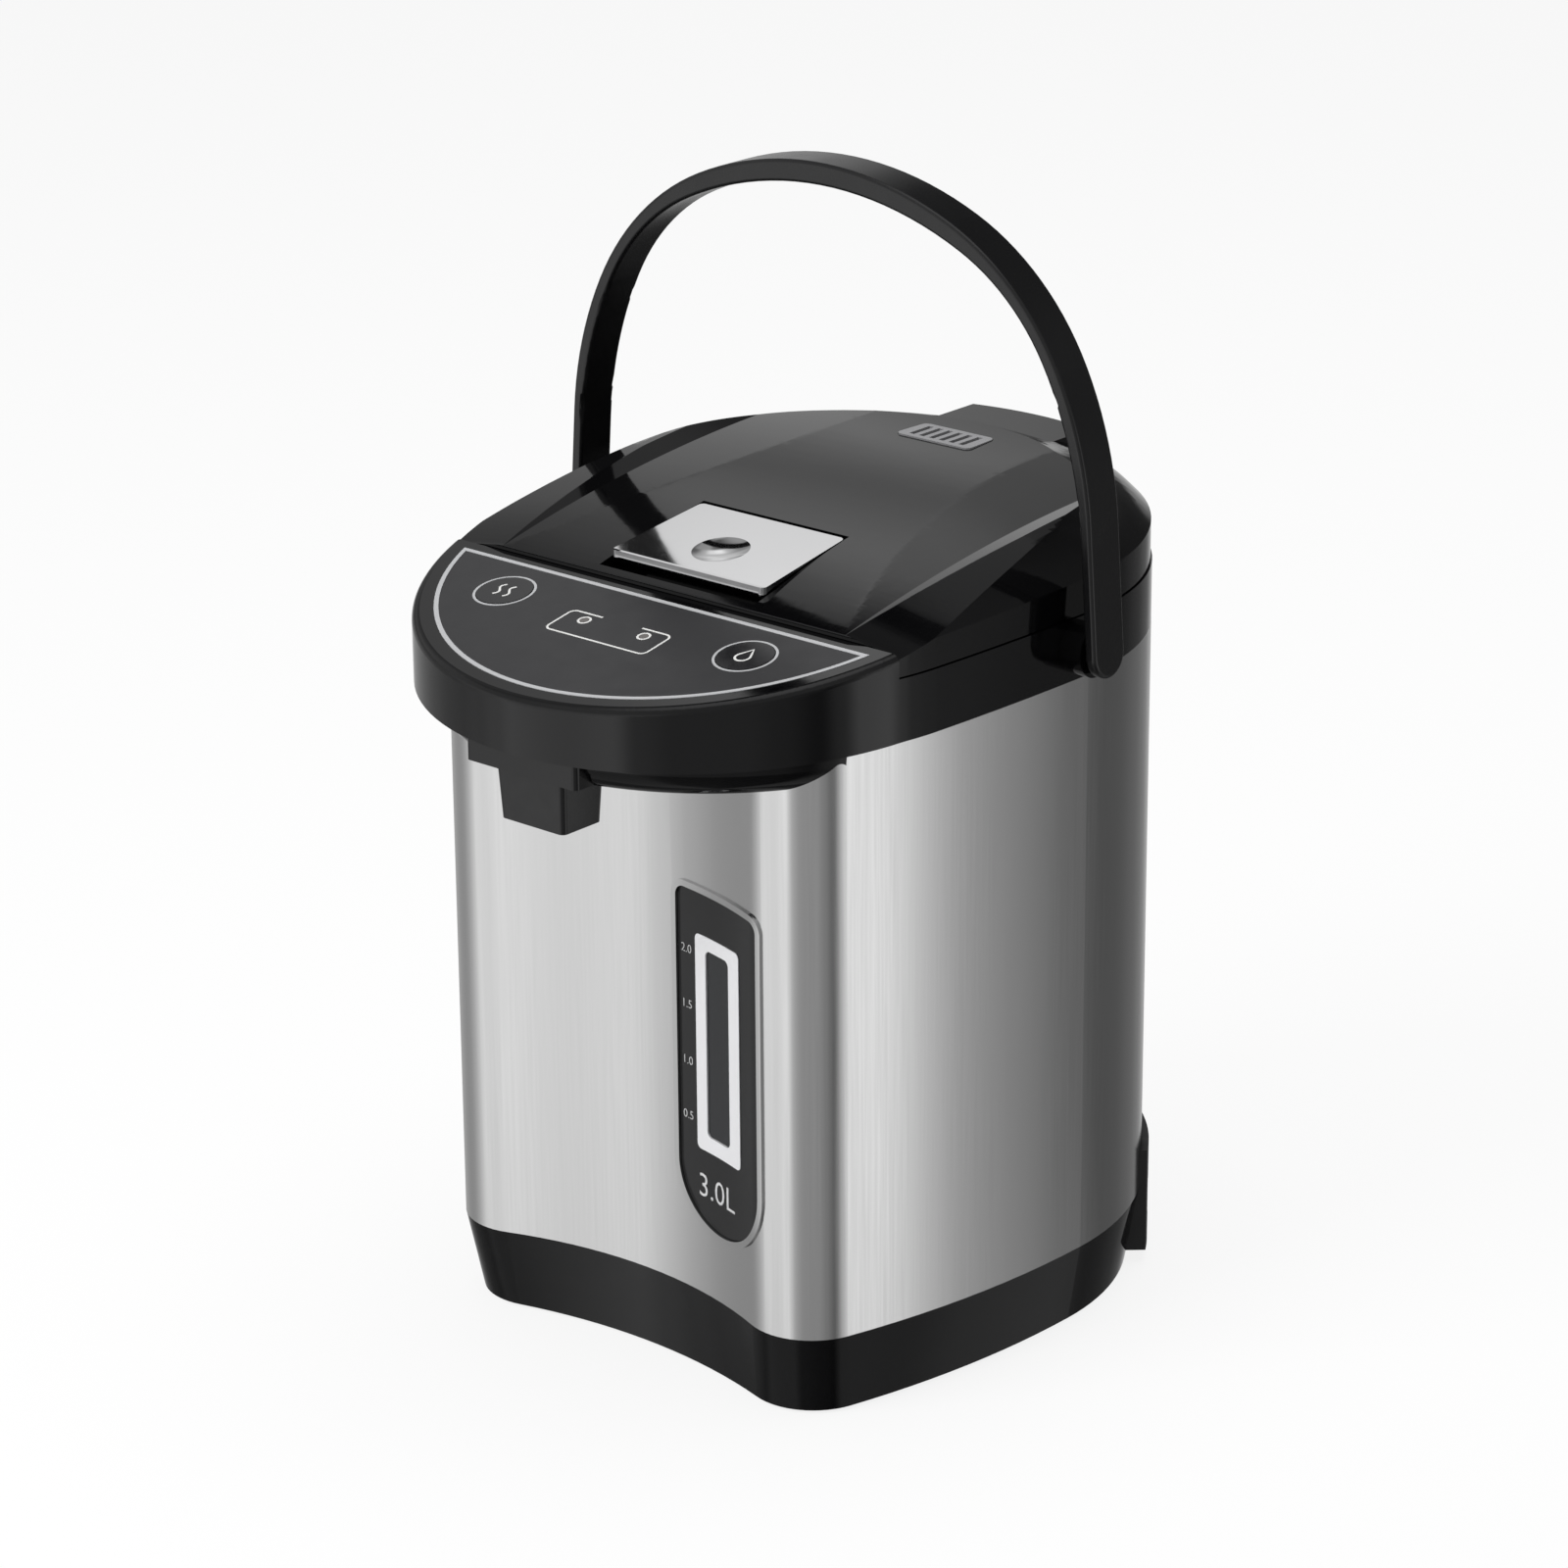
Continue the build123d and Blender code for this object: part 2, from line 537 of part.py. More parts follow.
# ---------------------------------------------------------------- nose underside and spout
def make_spout():
    edge = prism(head_plan(COLLAR_T + 0.2), LOW, HIGH) - prism(body_plan(-FIT), LOW, HIGH)
    plate = edge & side_view((-BIG, nose_floor(-BIG) + 0.6), (NOSE_ROOT_Y, STEEL_TOP + 0.6),
                             (BIG, STEEL_TOP + 0.6), (BIG, STEEL_TOP + 2.6), (NOSE_ROOT_Y, STEEL_TOP + 2.6),
                             (-BIG, nose_floor(-BIG) + 2.6))
    plate &= box(-BIG, BIG, -BIG, -28, LOW, HIGH)
    hull = Pos(0, NOSE_Y, HULL_Z) * Pos(0, 0, 9) * Cone(HULL_R - HULL_DRAFT, HULL_R, 18)
    hull = fillet(hull.edges().sort_by(Axis.Z)[0], HULL_ROUND)
    void = Pos(0, NOSE_Y, HULL_Z + 2.5) * Pos(0, 0, 10) * Cylinder(HULL_R - HULL_DRAFT - 2.5, 20)
    void = fillet(void.edges().sort_by(Axis.Z)[0], HULL_ROUND - 2.5)
    hull = (hull - void) & box(-BIG, BIG, -BIG, HULL_END_Y, LOW, HIGH)
    block = box(-BLOCK_W / 2, BLOCK_W / 2, BLOCK_FRONT_Y, BLOCK_FRONT_Y + 30, BLOCK_Z, STEEL_TOP)
    block = fillet(block.edges().filter_by(Axis.Z).sort_by(Axis.Y)[:2], 2.0)
    hollow = box(-BLOCK_W / 2 + 2.5, BLOCK_W / 2 - 2.5, BLOCK_FRONT_Y + 2.5, BLOCK_FRONT_Y + 30,
                 BLOCK_Z + 2.5, STEEL_TOP)
    cover = hull + block - hollow
    cover &= side_view((-BIG, 0), (BIG, 0), (BIG, STEEL_TOP + 1), (NOSE_ROOT_Y, STEEL_TOP + 1),
                       (-BIG, nose_floor(-BIG) + 1))
    cover = cover + plate
    cover -= prism(body_plan(-FIT), LOW, HIGH)
    spout_y = SPOUT_FRONT_Y + SPOUT_DEPTH / 2
    seat = Pos(0, spout_y) * RectangleRounded(SPOUT_W + 2 * TUCK, SPOUT_DEPTH + 2 * TUCK, 2.0)
    cover -= prism(seat, HULL_Z - 1, BLOCK_Z)
    cover -= rod(PIPE_R + 0.6, 0, spout_y, LOW, HIGH)
    keep("nose_cover", cover)

    height = BLOCK_Z - SPOUT_Z
    lower = Plane.XY.offset(SPOUT_Z) * Pos(0, spout_y)
    upper = Plane.XY.offset(BLOCK_Z) * Pos(0, spout_y)
    shrink = 2 * height * tan(radians(SPOUT_TAPER))
    shroud = loft([lower * RectangleRounded(SPOUT_W - shrink, SPOUT_DEPTH - shrink, 2.0),
                   upper * RectangleRounded(SPOUT_W, SPOUT_DEPTH, 2.0)])
    thin = 2 * SPOUT_T
    inside = loft([lower * RectangleRounded(SPOUT_W - shrink - thin, SPOUT_DEPTH - shrink - thin, 1.0),
                   upper * RectangleRounded(SPOUT_W - thin, SPOUT_DEPTH - thin, 1.0)])
    roof = box(-SPOUT_W / 2 + 1, SPOUT_W / 2 - 1, SPOUT_FRONT_Y + 1, SPOUT_FRONT_Y + SPOUT_DEPTH - 1,
               BLOCK_Z - SPOUT_T, BLOCK_Z)
    shroud = shroud - inside + roof
    shroud -= rod(PIPE_R + TUCK, 0, spout_y, LOW, HIGH)
    keep("spout", shroud)

    top = STEEL_TOP + 7.0
    pipe = tube_along([(0, spout_y, SPOUT_Z + 3.5), (0, spout_y, top), (TUBE_X, TUBE_Y - 10.6, top),
                       (TUBE_X, TUBE_Y, top), (TUBE_X, TUBE_Y, STEEL_TOP - 28)], [10, 12, 9], PIPE_R, PIPE_BORE)
    keep("outlet_pipe", pipe)


# ---------------------------------------------------------------- power inlet
def inlet_frame():
    return Pos(0, REAR_Y, 0) * Rot(0, 0, INLET_AZ)


def inlet_box(grow, z0, z1):
    """Block across the wall at the inlet's place."""
    depth = 14.0
    half = INLET_W / 2 + grow
    return inlet_frame() * box(REAR_R - depth, REAR_R + INLET_OUT + grow, -half, half, z0, z1)


def make_inlet():
    housing = inlet_box(0, INLET_Z0, INLET_Z1) & (inlet_frame() * rod(REAR_R + INLET_OUT, 0, 0, 0, 60))
    x_face = REAR_R + INLET_OUT
    socket = box(x_face - 8.0, x_face + 5, -14, 14, 15, 30)
    housing -= inlet_frame() * socket
    keep("power_inlet", housing)
    pins = []
    for y in (-6.0, 6.0):
        pin = Pos(x_face - 8.0, y, 20) * Rot(0, 90, 0) * Cylinder(1.6, 10)
        pins.append(inlet_frame() * pin)
    OUT["power_inlet"] = OUT["power_inlet"] - pins[0] - pins[1]
    keep("inlet_pins", *pins)


# ---------------------------------------------------------------- handle
def arc_run(start, arcs):
    """Tangent arcs that turn down from a level start; returns edges, end and heading."""
    x, z = start
    angle = 0.0
    edges = []
    for r, turn in arcs:
        a, b = radians(angle), radians(angle + turn)
        m = (a + b) / 2
        cx, cz = x - r * sin(a), z - r * cos(a)
        mid, end = (cx + r * sin(m), cz + r * cos(m)), (cx + r * sin(b), cz + r * cos(b))
        edges.append(((x, z), mid, end))
        x, z = end
        angle += turn
    return edges, (x, z), angle


def leg_line_x(start, arcs, z_level):
    _, (x, z), angle = arc_run(start, arcs)
    return x + (z - z_level) / tan(radians(angle))


def fitted_arcs(start, end_r, turns, x_goal):
    """Three arcs whose middle radius brings the leg to a given X at the pivot."""
    def reach(middle):
        return leg_line_x(start, [(end_r[0], turns[0]), (middle, turns[1]), (end_r[1], turns[2])], PIVOT_Z)
    middle = (x_goal - reach(0.0)) / (reach(1.0) - reach(0.0))
    return [(end_r[0], turns[0]), (middle, turns[1]), (end_r[1], turns[2])]


LEG_X = REAR_R + 0.05 + BOSS_L + BOSS_GAP        # inner face of the leg at the pivot
OUTER_TOP = (0, APEX_Z)
INNER_TOP = (0, APEX_Z - GRIP_T)
BAIL_OUTER = fitted_arcs(OUTER_TOP, BAIL_END_R, BAIL_TURNS, LEG_X + LEG_T)
BAIL_INNER = fitted_arcs(INNER_TOP, INNER_END_R, INNER_TURNS, LEG_X)


def leg_inner_x(z_level):
    return leg_line_x(INNER_TOP, BAIL_INNER, z_level)


def leg_outer_x(z_level):
    return leg_line_x(OUTER_TOP, BAIL_OUTER, z_level)


def half_arch(start, arcs, z_low, sx):
    runs, end, angle = arc_run(start, arcs)
    edges = [ThreePointArc(*[(sx * p[0], 0, p[1]) for p in run]) for run in runs]
    edges.append(Line((sx * end[0], 0, end[1]), (sx * leg_line_x(start, arcs, z_low), 0, z_low)))
    return edges


def make_handle():
    z_low = PIVOT_Z - BAIL_W / 2 - 2
    edges = []
    for sx in (-1, 1):
        edges += half_arch(OUTER_TOP, BAIL_OUTER, z_low, sx)
        edges += half_arch(INNER_TOP, BAIL_INNER, z_low, sx)
        edges.append(Line((sx * leg_outer_x(z_low), 0, z_low), (sx * leg_inner_x(z_low), 0, z_low)))
    strap = Pos(0, PIVOT_Y, 0) * extrude(make_face(edges), BAIL_W / 2, dir=(0, 1, 0), both=True)
    side = box(-BIG, BIG, PIVOT_Y - BAIL_W / 2, PIVOT_Y + BAIL_W / 2, PIVOT_Z, BIG + 100)
    side += cross_rod(BAIL_W / 2, PIVOT_Y, PIVOT_Z, -BIG / 2, BIG / 2)
    bail = strap & side
    long_edges = [e for e in bail.edges() if e.length > 6 and (e @ 0.5).Z > PIVOT_Z and abs((e @ 0.5).X) > 0.01
                  and abs(abs((e @ 0.5).Y - PIVOT_Y) - BAIL_W / 2) < 0.01]
    bail = fillet(long_edges, BAIL_ROUND)
    for sx in (-1, 1):
        bail -= cross_rod(PIN_R + RUN, PIVOT_Y, PIVOT_Z, sx * (LEG_X - 3), sx * (LEG_X + PIN_L + 0.3))
    keep("handle_bail", bail)


# ---------------------------------------------------------------- lid
def arc_face(r, z_top, y0, y1, z_low):
    """YZ outline with an arc on top, its highest point at DOME_Y."""
    def z_at(y):
        return z_top - r + sqrt(r * r - (y - DOME_Y)**2)
    ym = (y0 + y1) / 2
    edges = [ThreePointArc((0, y0, z_at(y0)), (0, ym, z_at(ym)), (0, y1, z_at(y1))),
             Line((0, y1, z_at(y1)), (0, y1, z_low)), Line((0, y1, z_low), (0, y0, z_low)),
             Line((0, y0, z_low), (0, y0, z_at(y0)))]
    return extrude(make_face(edges), BIG / 2, dir=(1, 0, 0), both=True)


def dome_z(y):
    return DOME_Z - DOME_R + sqrt(DOME_R**2 - (y - DOME_Y)**2)


def lid_form(inset, low, top_drop, front):
    """Lid envelope: plan, sloping shoulder over the climbing crease, and domed top."""
    def section(rise, step, climb):
        tilt = Pos(0, LID_FRONT_Y, LID_CREASE_Z + rise) * Rot(climb, 0, 0) * Pos(0, -LID_FRONT_Y, 0)
        return tilt * head_plan(0.6 + inset + step)
    wall = prism(head_plan(0.6 + inset), low, HIGH)
    wall &= arc_face(DOME_R - top_drop, DOME_Z - top_drop, front, BIG / 2, low)
    crease = SHOULDER[0]
    below = loft([section(-22.0, -21.0, crease[2]), section(*crease)], ruled=True)
    return wall & (loft([section(*layer) for layer in SHOULDER]) + below)


def valley_cutter(sx):
    """Space above the creased side of the lid top, swept about the lid's long arc."""
    crest = VALLEY_BANK * tan(radians(VALLEY_OUT))
    out, inn = 30.0, 70.0
    marks = [(0, 0), (VALLEY_BANK, crest), (VALLEY_BANK + out, crest - out * tan(radians(FIELD_FALL))),
             (VALLEY_BANK + out, 20), (-inn, 20), (-inn, inn * tan(radians(VALLEY_IN)))]
    face = make_face(Polyline(*[(sx * (VALLEY_X + x), DOME_Y, VALLEY_Z + z) for x, z in marks], close=True))
    axis = Axis((0, DOME_Y, VALLEY_Z - VALLEY_R), (1, 0, 0))
    return revolve(face.rotate(axis, 6), axis, -22)


def latch_outline(grow=0.0, y0=LATCH_Y0, y1=LATCH_Y1):
    a, b = LATCH_W / 2 + grow, LATCH_REAR_W / 2 + grow
    face = make_face(Polyline((-a, y0 - grow), (a, y0 - grow), (b, y1 + grow), (-b, y1 + grow), close=True))
    return fillet(face.vertices(), 2.0 + grow)


def latch_line(y):
    return LATCH_Z0 + (y - LATCH_Y0) * (LATCH_Z1 - LATCH_Z0) / (LATCH_Y1 - LATCH_Y0)


LATCH_PIN_Y = LATCH_Y1 - 2.4
LATCH_PIN_Z = latch_line(LATCH_PIN_Y) - LATCH_PIN_DOWN
TRAY_Z = DECK_Z + 2.4
TRAY_T = 2.0
SLIDER_Z = TRAY_Z + TRAY_T + FIT
ARM_Z = SLIDER_Z + 0.8
THROW = (LATCH_PIN_Z - ARM_Z) * sin(radians(LATCH_LIFT))      # slider travel, forward


def make_lid():
    low = SEAM_Z + LID_GAP
    shell = lid_form(0, low, 0, LID_FRONT_Y)
    for sx in (-1, 1):
        shell -= valley_cutter(sx)
    inner_top = DOME_Z - VALLEY_Z + 2.2
    shell -= lid_form(LID_T, low - 20, inner_top, LID_FRONT_Y + LID_T)
    well = prism(latch_outline(0.5), LOW, HIGH)
    well += box(-LATCH_REAR_W / 2 - 0.5, LATCH_REAR_W / 2 + 0.5, LATCH_Y1 - 4, LATCH_Y1 + LATCH_REAR_GAP, LOW, HIGH)
    core = lid_form(0.5, low, 0.5, LID_FRONT_Y + 0.5)
    far = BIG / 4
    under = LATCH_T + LATCH_UNDER
    floor_lo = [(-far, latch_line(-far) - under), (far, latch_line(far) - under)]
    bed = side_view((-far, floor_lo[0][1] - 2.0), (far, floor_lo[1][1] - 2.0), (far, HIGH), (-far, HIGH))
    shell += prism(latch_outline(2.5), LOW, HIGH) & bed & core
    shell -= well & side_view(*floor_lo, (far, HIGH + 20), (-far, HIGH + 20))
    half = LATCH_W / 2 + 0.5
    scoop = box(-half, half, LATCH_Y0 - 5.0, LATCH_Y0 + 7.0, LATCH_Z0 - 8.8, HIGH)
    tub = box(-half - 2, half + 2, LATCH_Y0 - 7.0, LATCH_Y0 + 9.0, LATCH_Z0 - 10.8, LATCH_Z0 - 3.4)
    shell = shell + (tub & core) - scoop
    for sx in (-1, 1):
        shell -= box(sx * 14 - 2.6, sx * 14 + 2.6, LATCH_PIN_Y - 5, LATCH_Y1 + LATCH_REAR_GAP, SEAM_Z, HIGH)
        shell += box(sx * 19.5 - 2.0, sx * 19.5 + 2.0, LATCH_PIN_Y - 3, LATCH_PIN_Y + 3,
                     LATCH_PIN_Z - 3, LATCH_PIN_Z + 1)
    shell -= box(-5, 5, LATCH_PIN_Y - 7, LATCH_Y1 + LATCH_REAR_GAP, SEAM_Z, HIGH)
    shell -= cross_rod(LATCH_PIN_R + 0.02, LATCH_PIN_Y, LATCH_PIN_Z, -21.6, 21.6)
    shell -= prism(grille_plan(0.15), LID_CREASE_Z, HIGH)
    notch = HINGE_W / 2 + 0.6
    shell -= box(-notch, notch, HINGE_FRONT_Y - 0.6, BIG, LOW, HIGH)
    sweep_r = hypot(HINGE_Y - HINGE_FRONT_Y, HINGE_TOP_Z - HINGE_Z) + FIT
    shell -= cross_rod(sweep_r, HINGE_Y, HINGE_Z, -notch, notch)
    for sx in (-1, 1):
        x0, x1 = sx * (notch + 0.2), sx * (notch + 0.2 + EAR_T)
        ear = box(x0, x1, HINGE_Y - EAR_R, HINGE_Y + EAR_R, HINGE_Z, dome_z(HINGE_Y) - 2)
        shell += (ear & core) + cross_rod(EAR_R, HINGE_Y, HINGE_Z, x0, x1)
    shell -= cross_rod(HINGE_PIN_R + 0.02, HINGE_Y, HINGE_Z, -60, 60)
    relief = tan(radians(LID_SWING + 3))
    shell -= side_view((HINGE_Y - 1, low - 1), (BIG / 2, low - 1), (BIG / 2, low + (BIG / 2 - HINGE_Y) * relief))
    keep("lid_shell", shell)

    pin_half = HINGE_W / 2 + 0.8 + EAR_T
    keep("hinge_pin", cross_rod(HINGE_PIN_R, HINGE_Y, HINGE_Z, -pin_half, pin_half))

    rear = HINGE_FRONT_Y - 4.5
    zone = box(-BIG, BIG, LID_FRONT_Y + LID_T + FIT, rear, LOW, HIGH)
    tray_top = TRAY_Z + TRAY_T
    tray = prism(head_plan(0.6 + LID_T + FIT + 0.4), TRAY_Z, tray_top)
    tray += prism(head_plan(0.6 + LID_T + FIT), tray_top, TRAY_Z + 7.6)
    tray -= prism(head_plan(0.6 + LID_T + FIT + 1.6), tray_top, HIGH)
    tray = tray & zone
    tray += rod(TANK_R - 7.0, 0, REAR_Y, DECK_Z - 4.4, TRAY_Z) - rod(TANK_R - 9.2, 0, REAR_Y, DECK_Z - 5, TRAY_Z)
    for sx in (-1, 1):
        x = sx * (SLIDER_W / 2 + FIT)
        tray += box(x, x + sx * 1.6, -46, -6, tray_top, tray_top + 3)
    tray -= rod(5.0, 0, STEAM_Y, LOW, HIGH)
    tray -= bolt_way(LOW, HIGH)
    keep("lid_tray", tray)
    plate = rod(TANK_R - 9.5, 0, REAR_Y, DECK_Z - 6, DECK_Z) - rod(TANK_R - 10.3, 0, REAR_Y, DECK_Z - 5.2, HIGH)
    plate -= rod(3.0, 0, STEAM_Y, LOW, HIGH)
    keep("lid_plate", plate)
    section = [(-6.8, -4.2), (-2.4, -5.4), (-1.6, -4.0), (-3.6, -1.6), (-3.6, 1.6), (-6.8, 1.6)]
    profile = Polyline(*[(TANK_R + dr, DECK_Z + dz) for dr, dz in section], close=True)
    gasket = revolve(make_face(Plane.XZ * profile), Axis.Z, 360)
    keep("lid_gasket", Pos(0, REAR_Y, 0) * gasket)
    top = dome_z(STEAM_Y)
    duct = rod(6.0, 0, STEAM_Y, tray_top + 0.2, top - 5.6) - rod(4.8, 0, STEAM_Y, LOW, HIGH)
    keep("steam_duct", duct)
    grille = prism(grille_plan(), top - 3.0, top + 0.4)
    for i in range(6):
        x = (i - 2.5) * 4.4
        grille -= box(x - 1.1, x + 1.1, STEAM_Y - 5.6, STEAM_Y + 5.6, LOW, HIGH)
    keep("steam_grille", grille)


def grille_plan(grow=0.0):
    y0, y1 = STEAM_Y - 8 - grow, STEAM_Y + 8 + grow
    face = make_face(Polyline((-16.5 - grow, y0), (16.5 + grow, y0), (15.5 + grow, y1), (-15.5 - grow, y1), close=True))
    return fillet(face.vertices(), 2.5)


# ---------------------------------------------------------------- release plate and its slider
def make_latch():
    y0, y1 = LATCH_Y0 - 5, LATCH_Y1 + 5
    lid_line = side_view((y0, latch_line(y0) - LATCH_T), (y1, latch_line(y1) - LATCH_T),
                         (y1, latch_line(y1)), (y0, latch_line(y0)))
    plate = prism(latch_outline(), LOW, HIGH) & lid_line
    front = box(-BIG, BIG, LATCH_Y0, LATCH_Y0 + 2.0, LATCH_Z0 - LATCH_LIP, LATCH_Z0 + 0.2)
    plate += prism(latch_outline(), LOW, HIGH) & front
    ball = (DIMPLE_R**2 + DIMPLE_DEEP**2) / (2 * DIMPLE_DEEP)
    plate -= Pos(0, DIMPLE_Y, latch_line(DIMPLE_Y) + ball - DIMPLE_DEEP) * Sphere(ball)
    for x in (-14, 0, 14):
        plate += box(x - 1.8, x + 1.8, LATCH_PIN_Y - 2.2, LATCH_PIN_Y + 2.2, LATCH_PIN_Z,
                     latch_line(LATCH_PIN_Y) - 1)
        plate += cross_rod(2.2, LATCH_PIN_Y, LATCH_PIN_Z, x - 1.8, x + 1.8)
    plate += box(-3, 3, LATCH_PIN_Y - 1, LATCH_PIN_Y + 1, ARM_Z, LATCH_PIN_Z - LATCH_PIN_R - 0.4)
    plate -= cross_rod(LATCH_PIN_R + RUN, LATCH_PIN_Y, LATCH_PIN_Z, -20, 20)
    keep("release_plate", plate)
    keep("release_pin", cross_rod(LATCH_PIN_R, LATCH_PIN_Y, LATCH_PIN_Z, -21.5, 21.5))
    half = SLIDER_W / 2
    slider = box(-half, half, BOLT_Y, -4.0, SLIDER_Z, SLIDER_Z + SLIDER_T)
    slider += box(-half, half, BOLT_Y, BOLT_Y + 2.0, DECK_Z - 2.0, SLIDER_Z + SLIDER_T)
    slider -= box(-3.6, 3.6, LATCH_PIN_Y - 1.6, LATCH_PIN_Y + 1.6, TRAY_Z, SLIDER_Z + SLIDER_T + 1)
    keep("latch_slider", slider)


def bolt_way(z0, z1):
    """Slot that clears the bolt over its travel."""
    half = SLIDER_W / 2 + 0.6
    return box(-half, half, BOLT_Y - THROW - 0.6, BOLT_Y + 2.6, z0, z1)


def make_hinge():
    block = box(-HINGE_W / 2, HINGE_W / 2, HINGE_FRONT_Y, BIG, DECK_Z, HINGE_TOP_Z)
    inside = prism(head_plan(COLLAR_T + 0.8), LOW, SEAM_Z) + prism(head_plan(0.8), SEAM_Z, HIGH)
    block = block & inside
    front_top = block.edges().filter_by(Axis.X).filter_by(lambda e: (e @ 0.5).Z > HINGE_TOP_Z - 0.1)
    block = fillet(front_top.sort_by(Axis.Y)[0], 1.5)
    block -= rod(FLANGE_R + FIT, 0, REAR_Y, LOW, DECK_Z + TANK_T + FIT)
    block -= cross_rod(HINGE_PIN_R + RUN, HINGE_Y, HINGE_Z, -60, 60)
    keep("hinge_block", block)


# ---------------------------------------------------------------- tank, heater and pump
def make_tank():
    outer = rod(TANK_R, 0, REAR_Y, TANK_Z, DECK_Z + TANK_T)
    outer = fillet(outer.edges().sort_by(Axis.Z)[0], TANK_ROUND)
    inner = rod(TANK_R - TANK_T, 0, REAR_Y, TANK_Z + TANK_T, DECK_Z + 10)
    inner = fillet(inner.edges().sort_by(Axis.Z)[0], TANK_ROUND - TANK_T)
    flange = rod(FLANGE_R, 0, REAR_Y, DECK_Z, DECK_Z + TANK_T)
    stub = rod(HOSE_BORE, PUMP_X, PUMP_Y, TANK_Z - 8, TANK_Z + TANK_T)
    tank = outer + flange + stub - inner
    tank -= rod(HOSE_BORE - 0.8, PUMP_X, PUMP_Y, 0, TANK_Z + 5)
    keep("inner_tank", tank)
    heater = rod(66, 0, REAR_Y, TANK_Z - 5, TANK_Z - 0.1) - rod(44, 0, REAR_Y, 0, 100)
    heater &= box(-BIG, BIG, 8.0, BIG, 0, 100)
    keep("heater", heater)
    tabs = box(-3, 3, REAR_Y - 14, REAR_Y + 14, TANK_Z - 6, TANK_Z - 5)
    keep("thermostat", rod(9, 0, REAR_Y, TANK_Z - 8, TANK_Z - 0.1) + tabs)
    volute = rod(PUMP_R, PUMP_X, PUMP_Y, PUMP_Z0, PUMP_Z1)
    out = Pos(TUBE_X, -18, 40) * Rot(90, 0, 0) * Cylinder(TUBE_R, 36)
    inlet = rod(HOSE_BORE, PUMP_X, PUMP_Y, PUMP_Z1, PUMP_Z1 + 6)
    pump = volute + out + inlet - rod(PUMP_R - 4, PUMP_X, PUMP_Y, PUMP_Z0 + 2, PUMP_Z1 - 2)
    pump -= rod(HOSE_BORE - 0.8, PUMP_X, PUMP_Y, PUMP_Z1 - 5, PUMP_Z1 + 10)
    pump -= Pos(TUBE_X, -22, 40) * Rot(90, 0, 0) * Cylinder(TUBE_BORE, 36)
    pump -= rod(1.5 + RUN, PUMP_X, PUMP_Y, 0, PUMP_Z0 + 4)
    keep("pump_housing", pump)
    wheel = rod(PUMP_R - 5, PUMP_X, PUMP_Y, PUMP_Z0 + 3, PUMP_Z0 + 4.5)
    wheel += rod(3.0, PUMP_X, PUMP_Y, PUMP_Z0 + 3, PUMP_Z1 - 3)
    for i in range(6):
        blade = box(2, PUMP_R - 5.2, -0.6, 0.6, PUMP_Z0 + 4, PUMP_Z1 - 3)
        wheel += Pos(PUMP_X, PUMP_Y, 0) * Rot(0, 0, 60 * i) * blade
    floor = BASE_Z + BASE_T
    wheel += rod(1.5, PUMP_X, PUMP_Y, floor + 12, PUMP_Z0 + 4)
    keep("pump_impeller", wheel)
    motor = rod(MOTOR_R, PUMP_X, PUMP_Y, floor + 2, PUMP_Z0) - rod(1.5 + RUN, PUMP_X, PUMP_Y, floor + 11, 100)
    keep("pump_motor", motor)
    cup = rod(MOTOR_R + 3, PUMP_X, PUMP_Y, floor, floor + 8) - rod(MOTOR_R + 0.2, PUMP_X, PUMP_Y, floor + 2, 100)
    keep("motor_seat", cup)
    hose = rod(HOSE_R, PUMP_X, PUMP_Y, PUMP_Z1 + 0.2, TANK_Z - 0.2) - rod(HOSE_BORE + TUCK, PUMP_X, PUMP_Y, 0, 100)
    keep("tank_hose", hose)
    route = [(TUBE_X, -26, 40), (TUBE_X, TUBE_Y, 40), (TUBE_X, TUBE_Y, 72)]
    keep("riser_hose", tube_along(route, [12], HOSE_R + 1.6, HOSE_R + TUCK))
    sight = rod(TUBE_R, TUBE_X, TUBE_Y, 60, STEEL_TOP - 35) - rod(TUBE_BORE, TUBE_X, TUBE_Y, 0, HIGH)
    keep("sight_tube", sight)
    sleeve = rod(TUBE_R + 1.8, TUBE_X, TUBE_Y, STEEL_TOP - 40, STEEL_TOP - 22)
    keep("tube_coupling", sleeve - rod(TUBE_R + TUCK, TUBE_X, TUBE_Y, 0, HIGH))


make_base()
make_body()
make_collar()
make_bosses()
make_panel()
make_spout()
make_inlet()
make_handle()
make_lid()
make_latch()
make_hinge()
make_tank()

os.makedirs("parts", exist_ok=True)
for name, shape in OUT.items():
    export_step(shape, f"parts/{name}.step")
    box_mm = shape.bounding_box()
    low, high = box_mm.min, box_mm.max
    print(f"{name:18s} {len(shape.solids())} solids  {shape.volume / 1000:9.2f} cm3  "
          f"{low.X:7.1f} {low.Y:7.1f} {low.Z:7.1f}  {high.X:7.1f} {high.Y:7.1f} {high.Z:7.1f}")
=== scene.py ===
import math

import bmesh
import bpy
from mathutils import Matrix, Vector


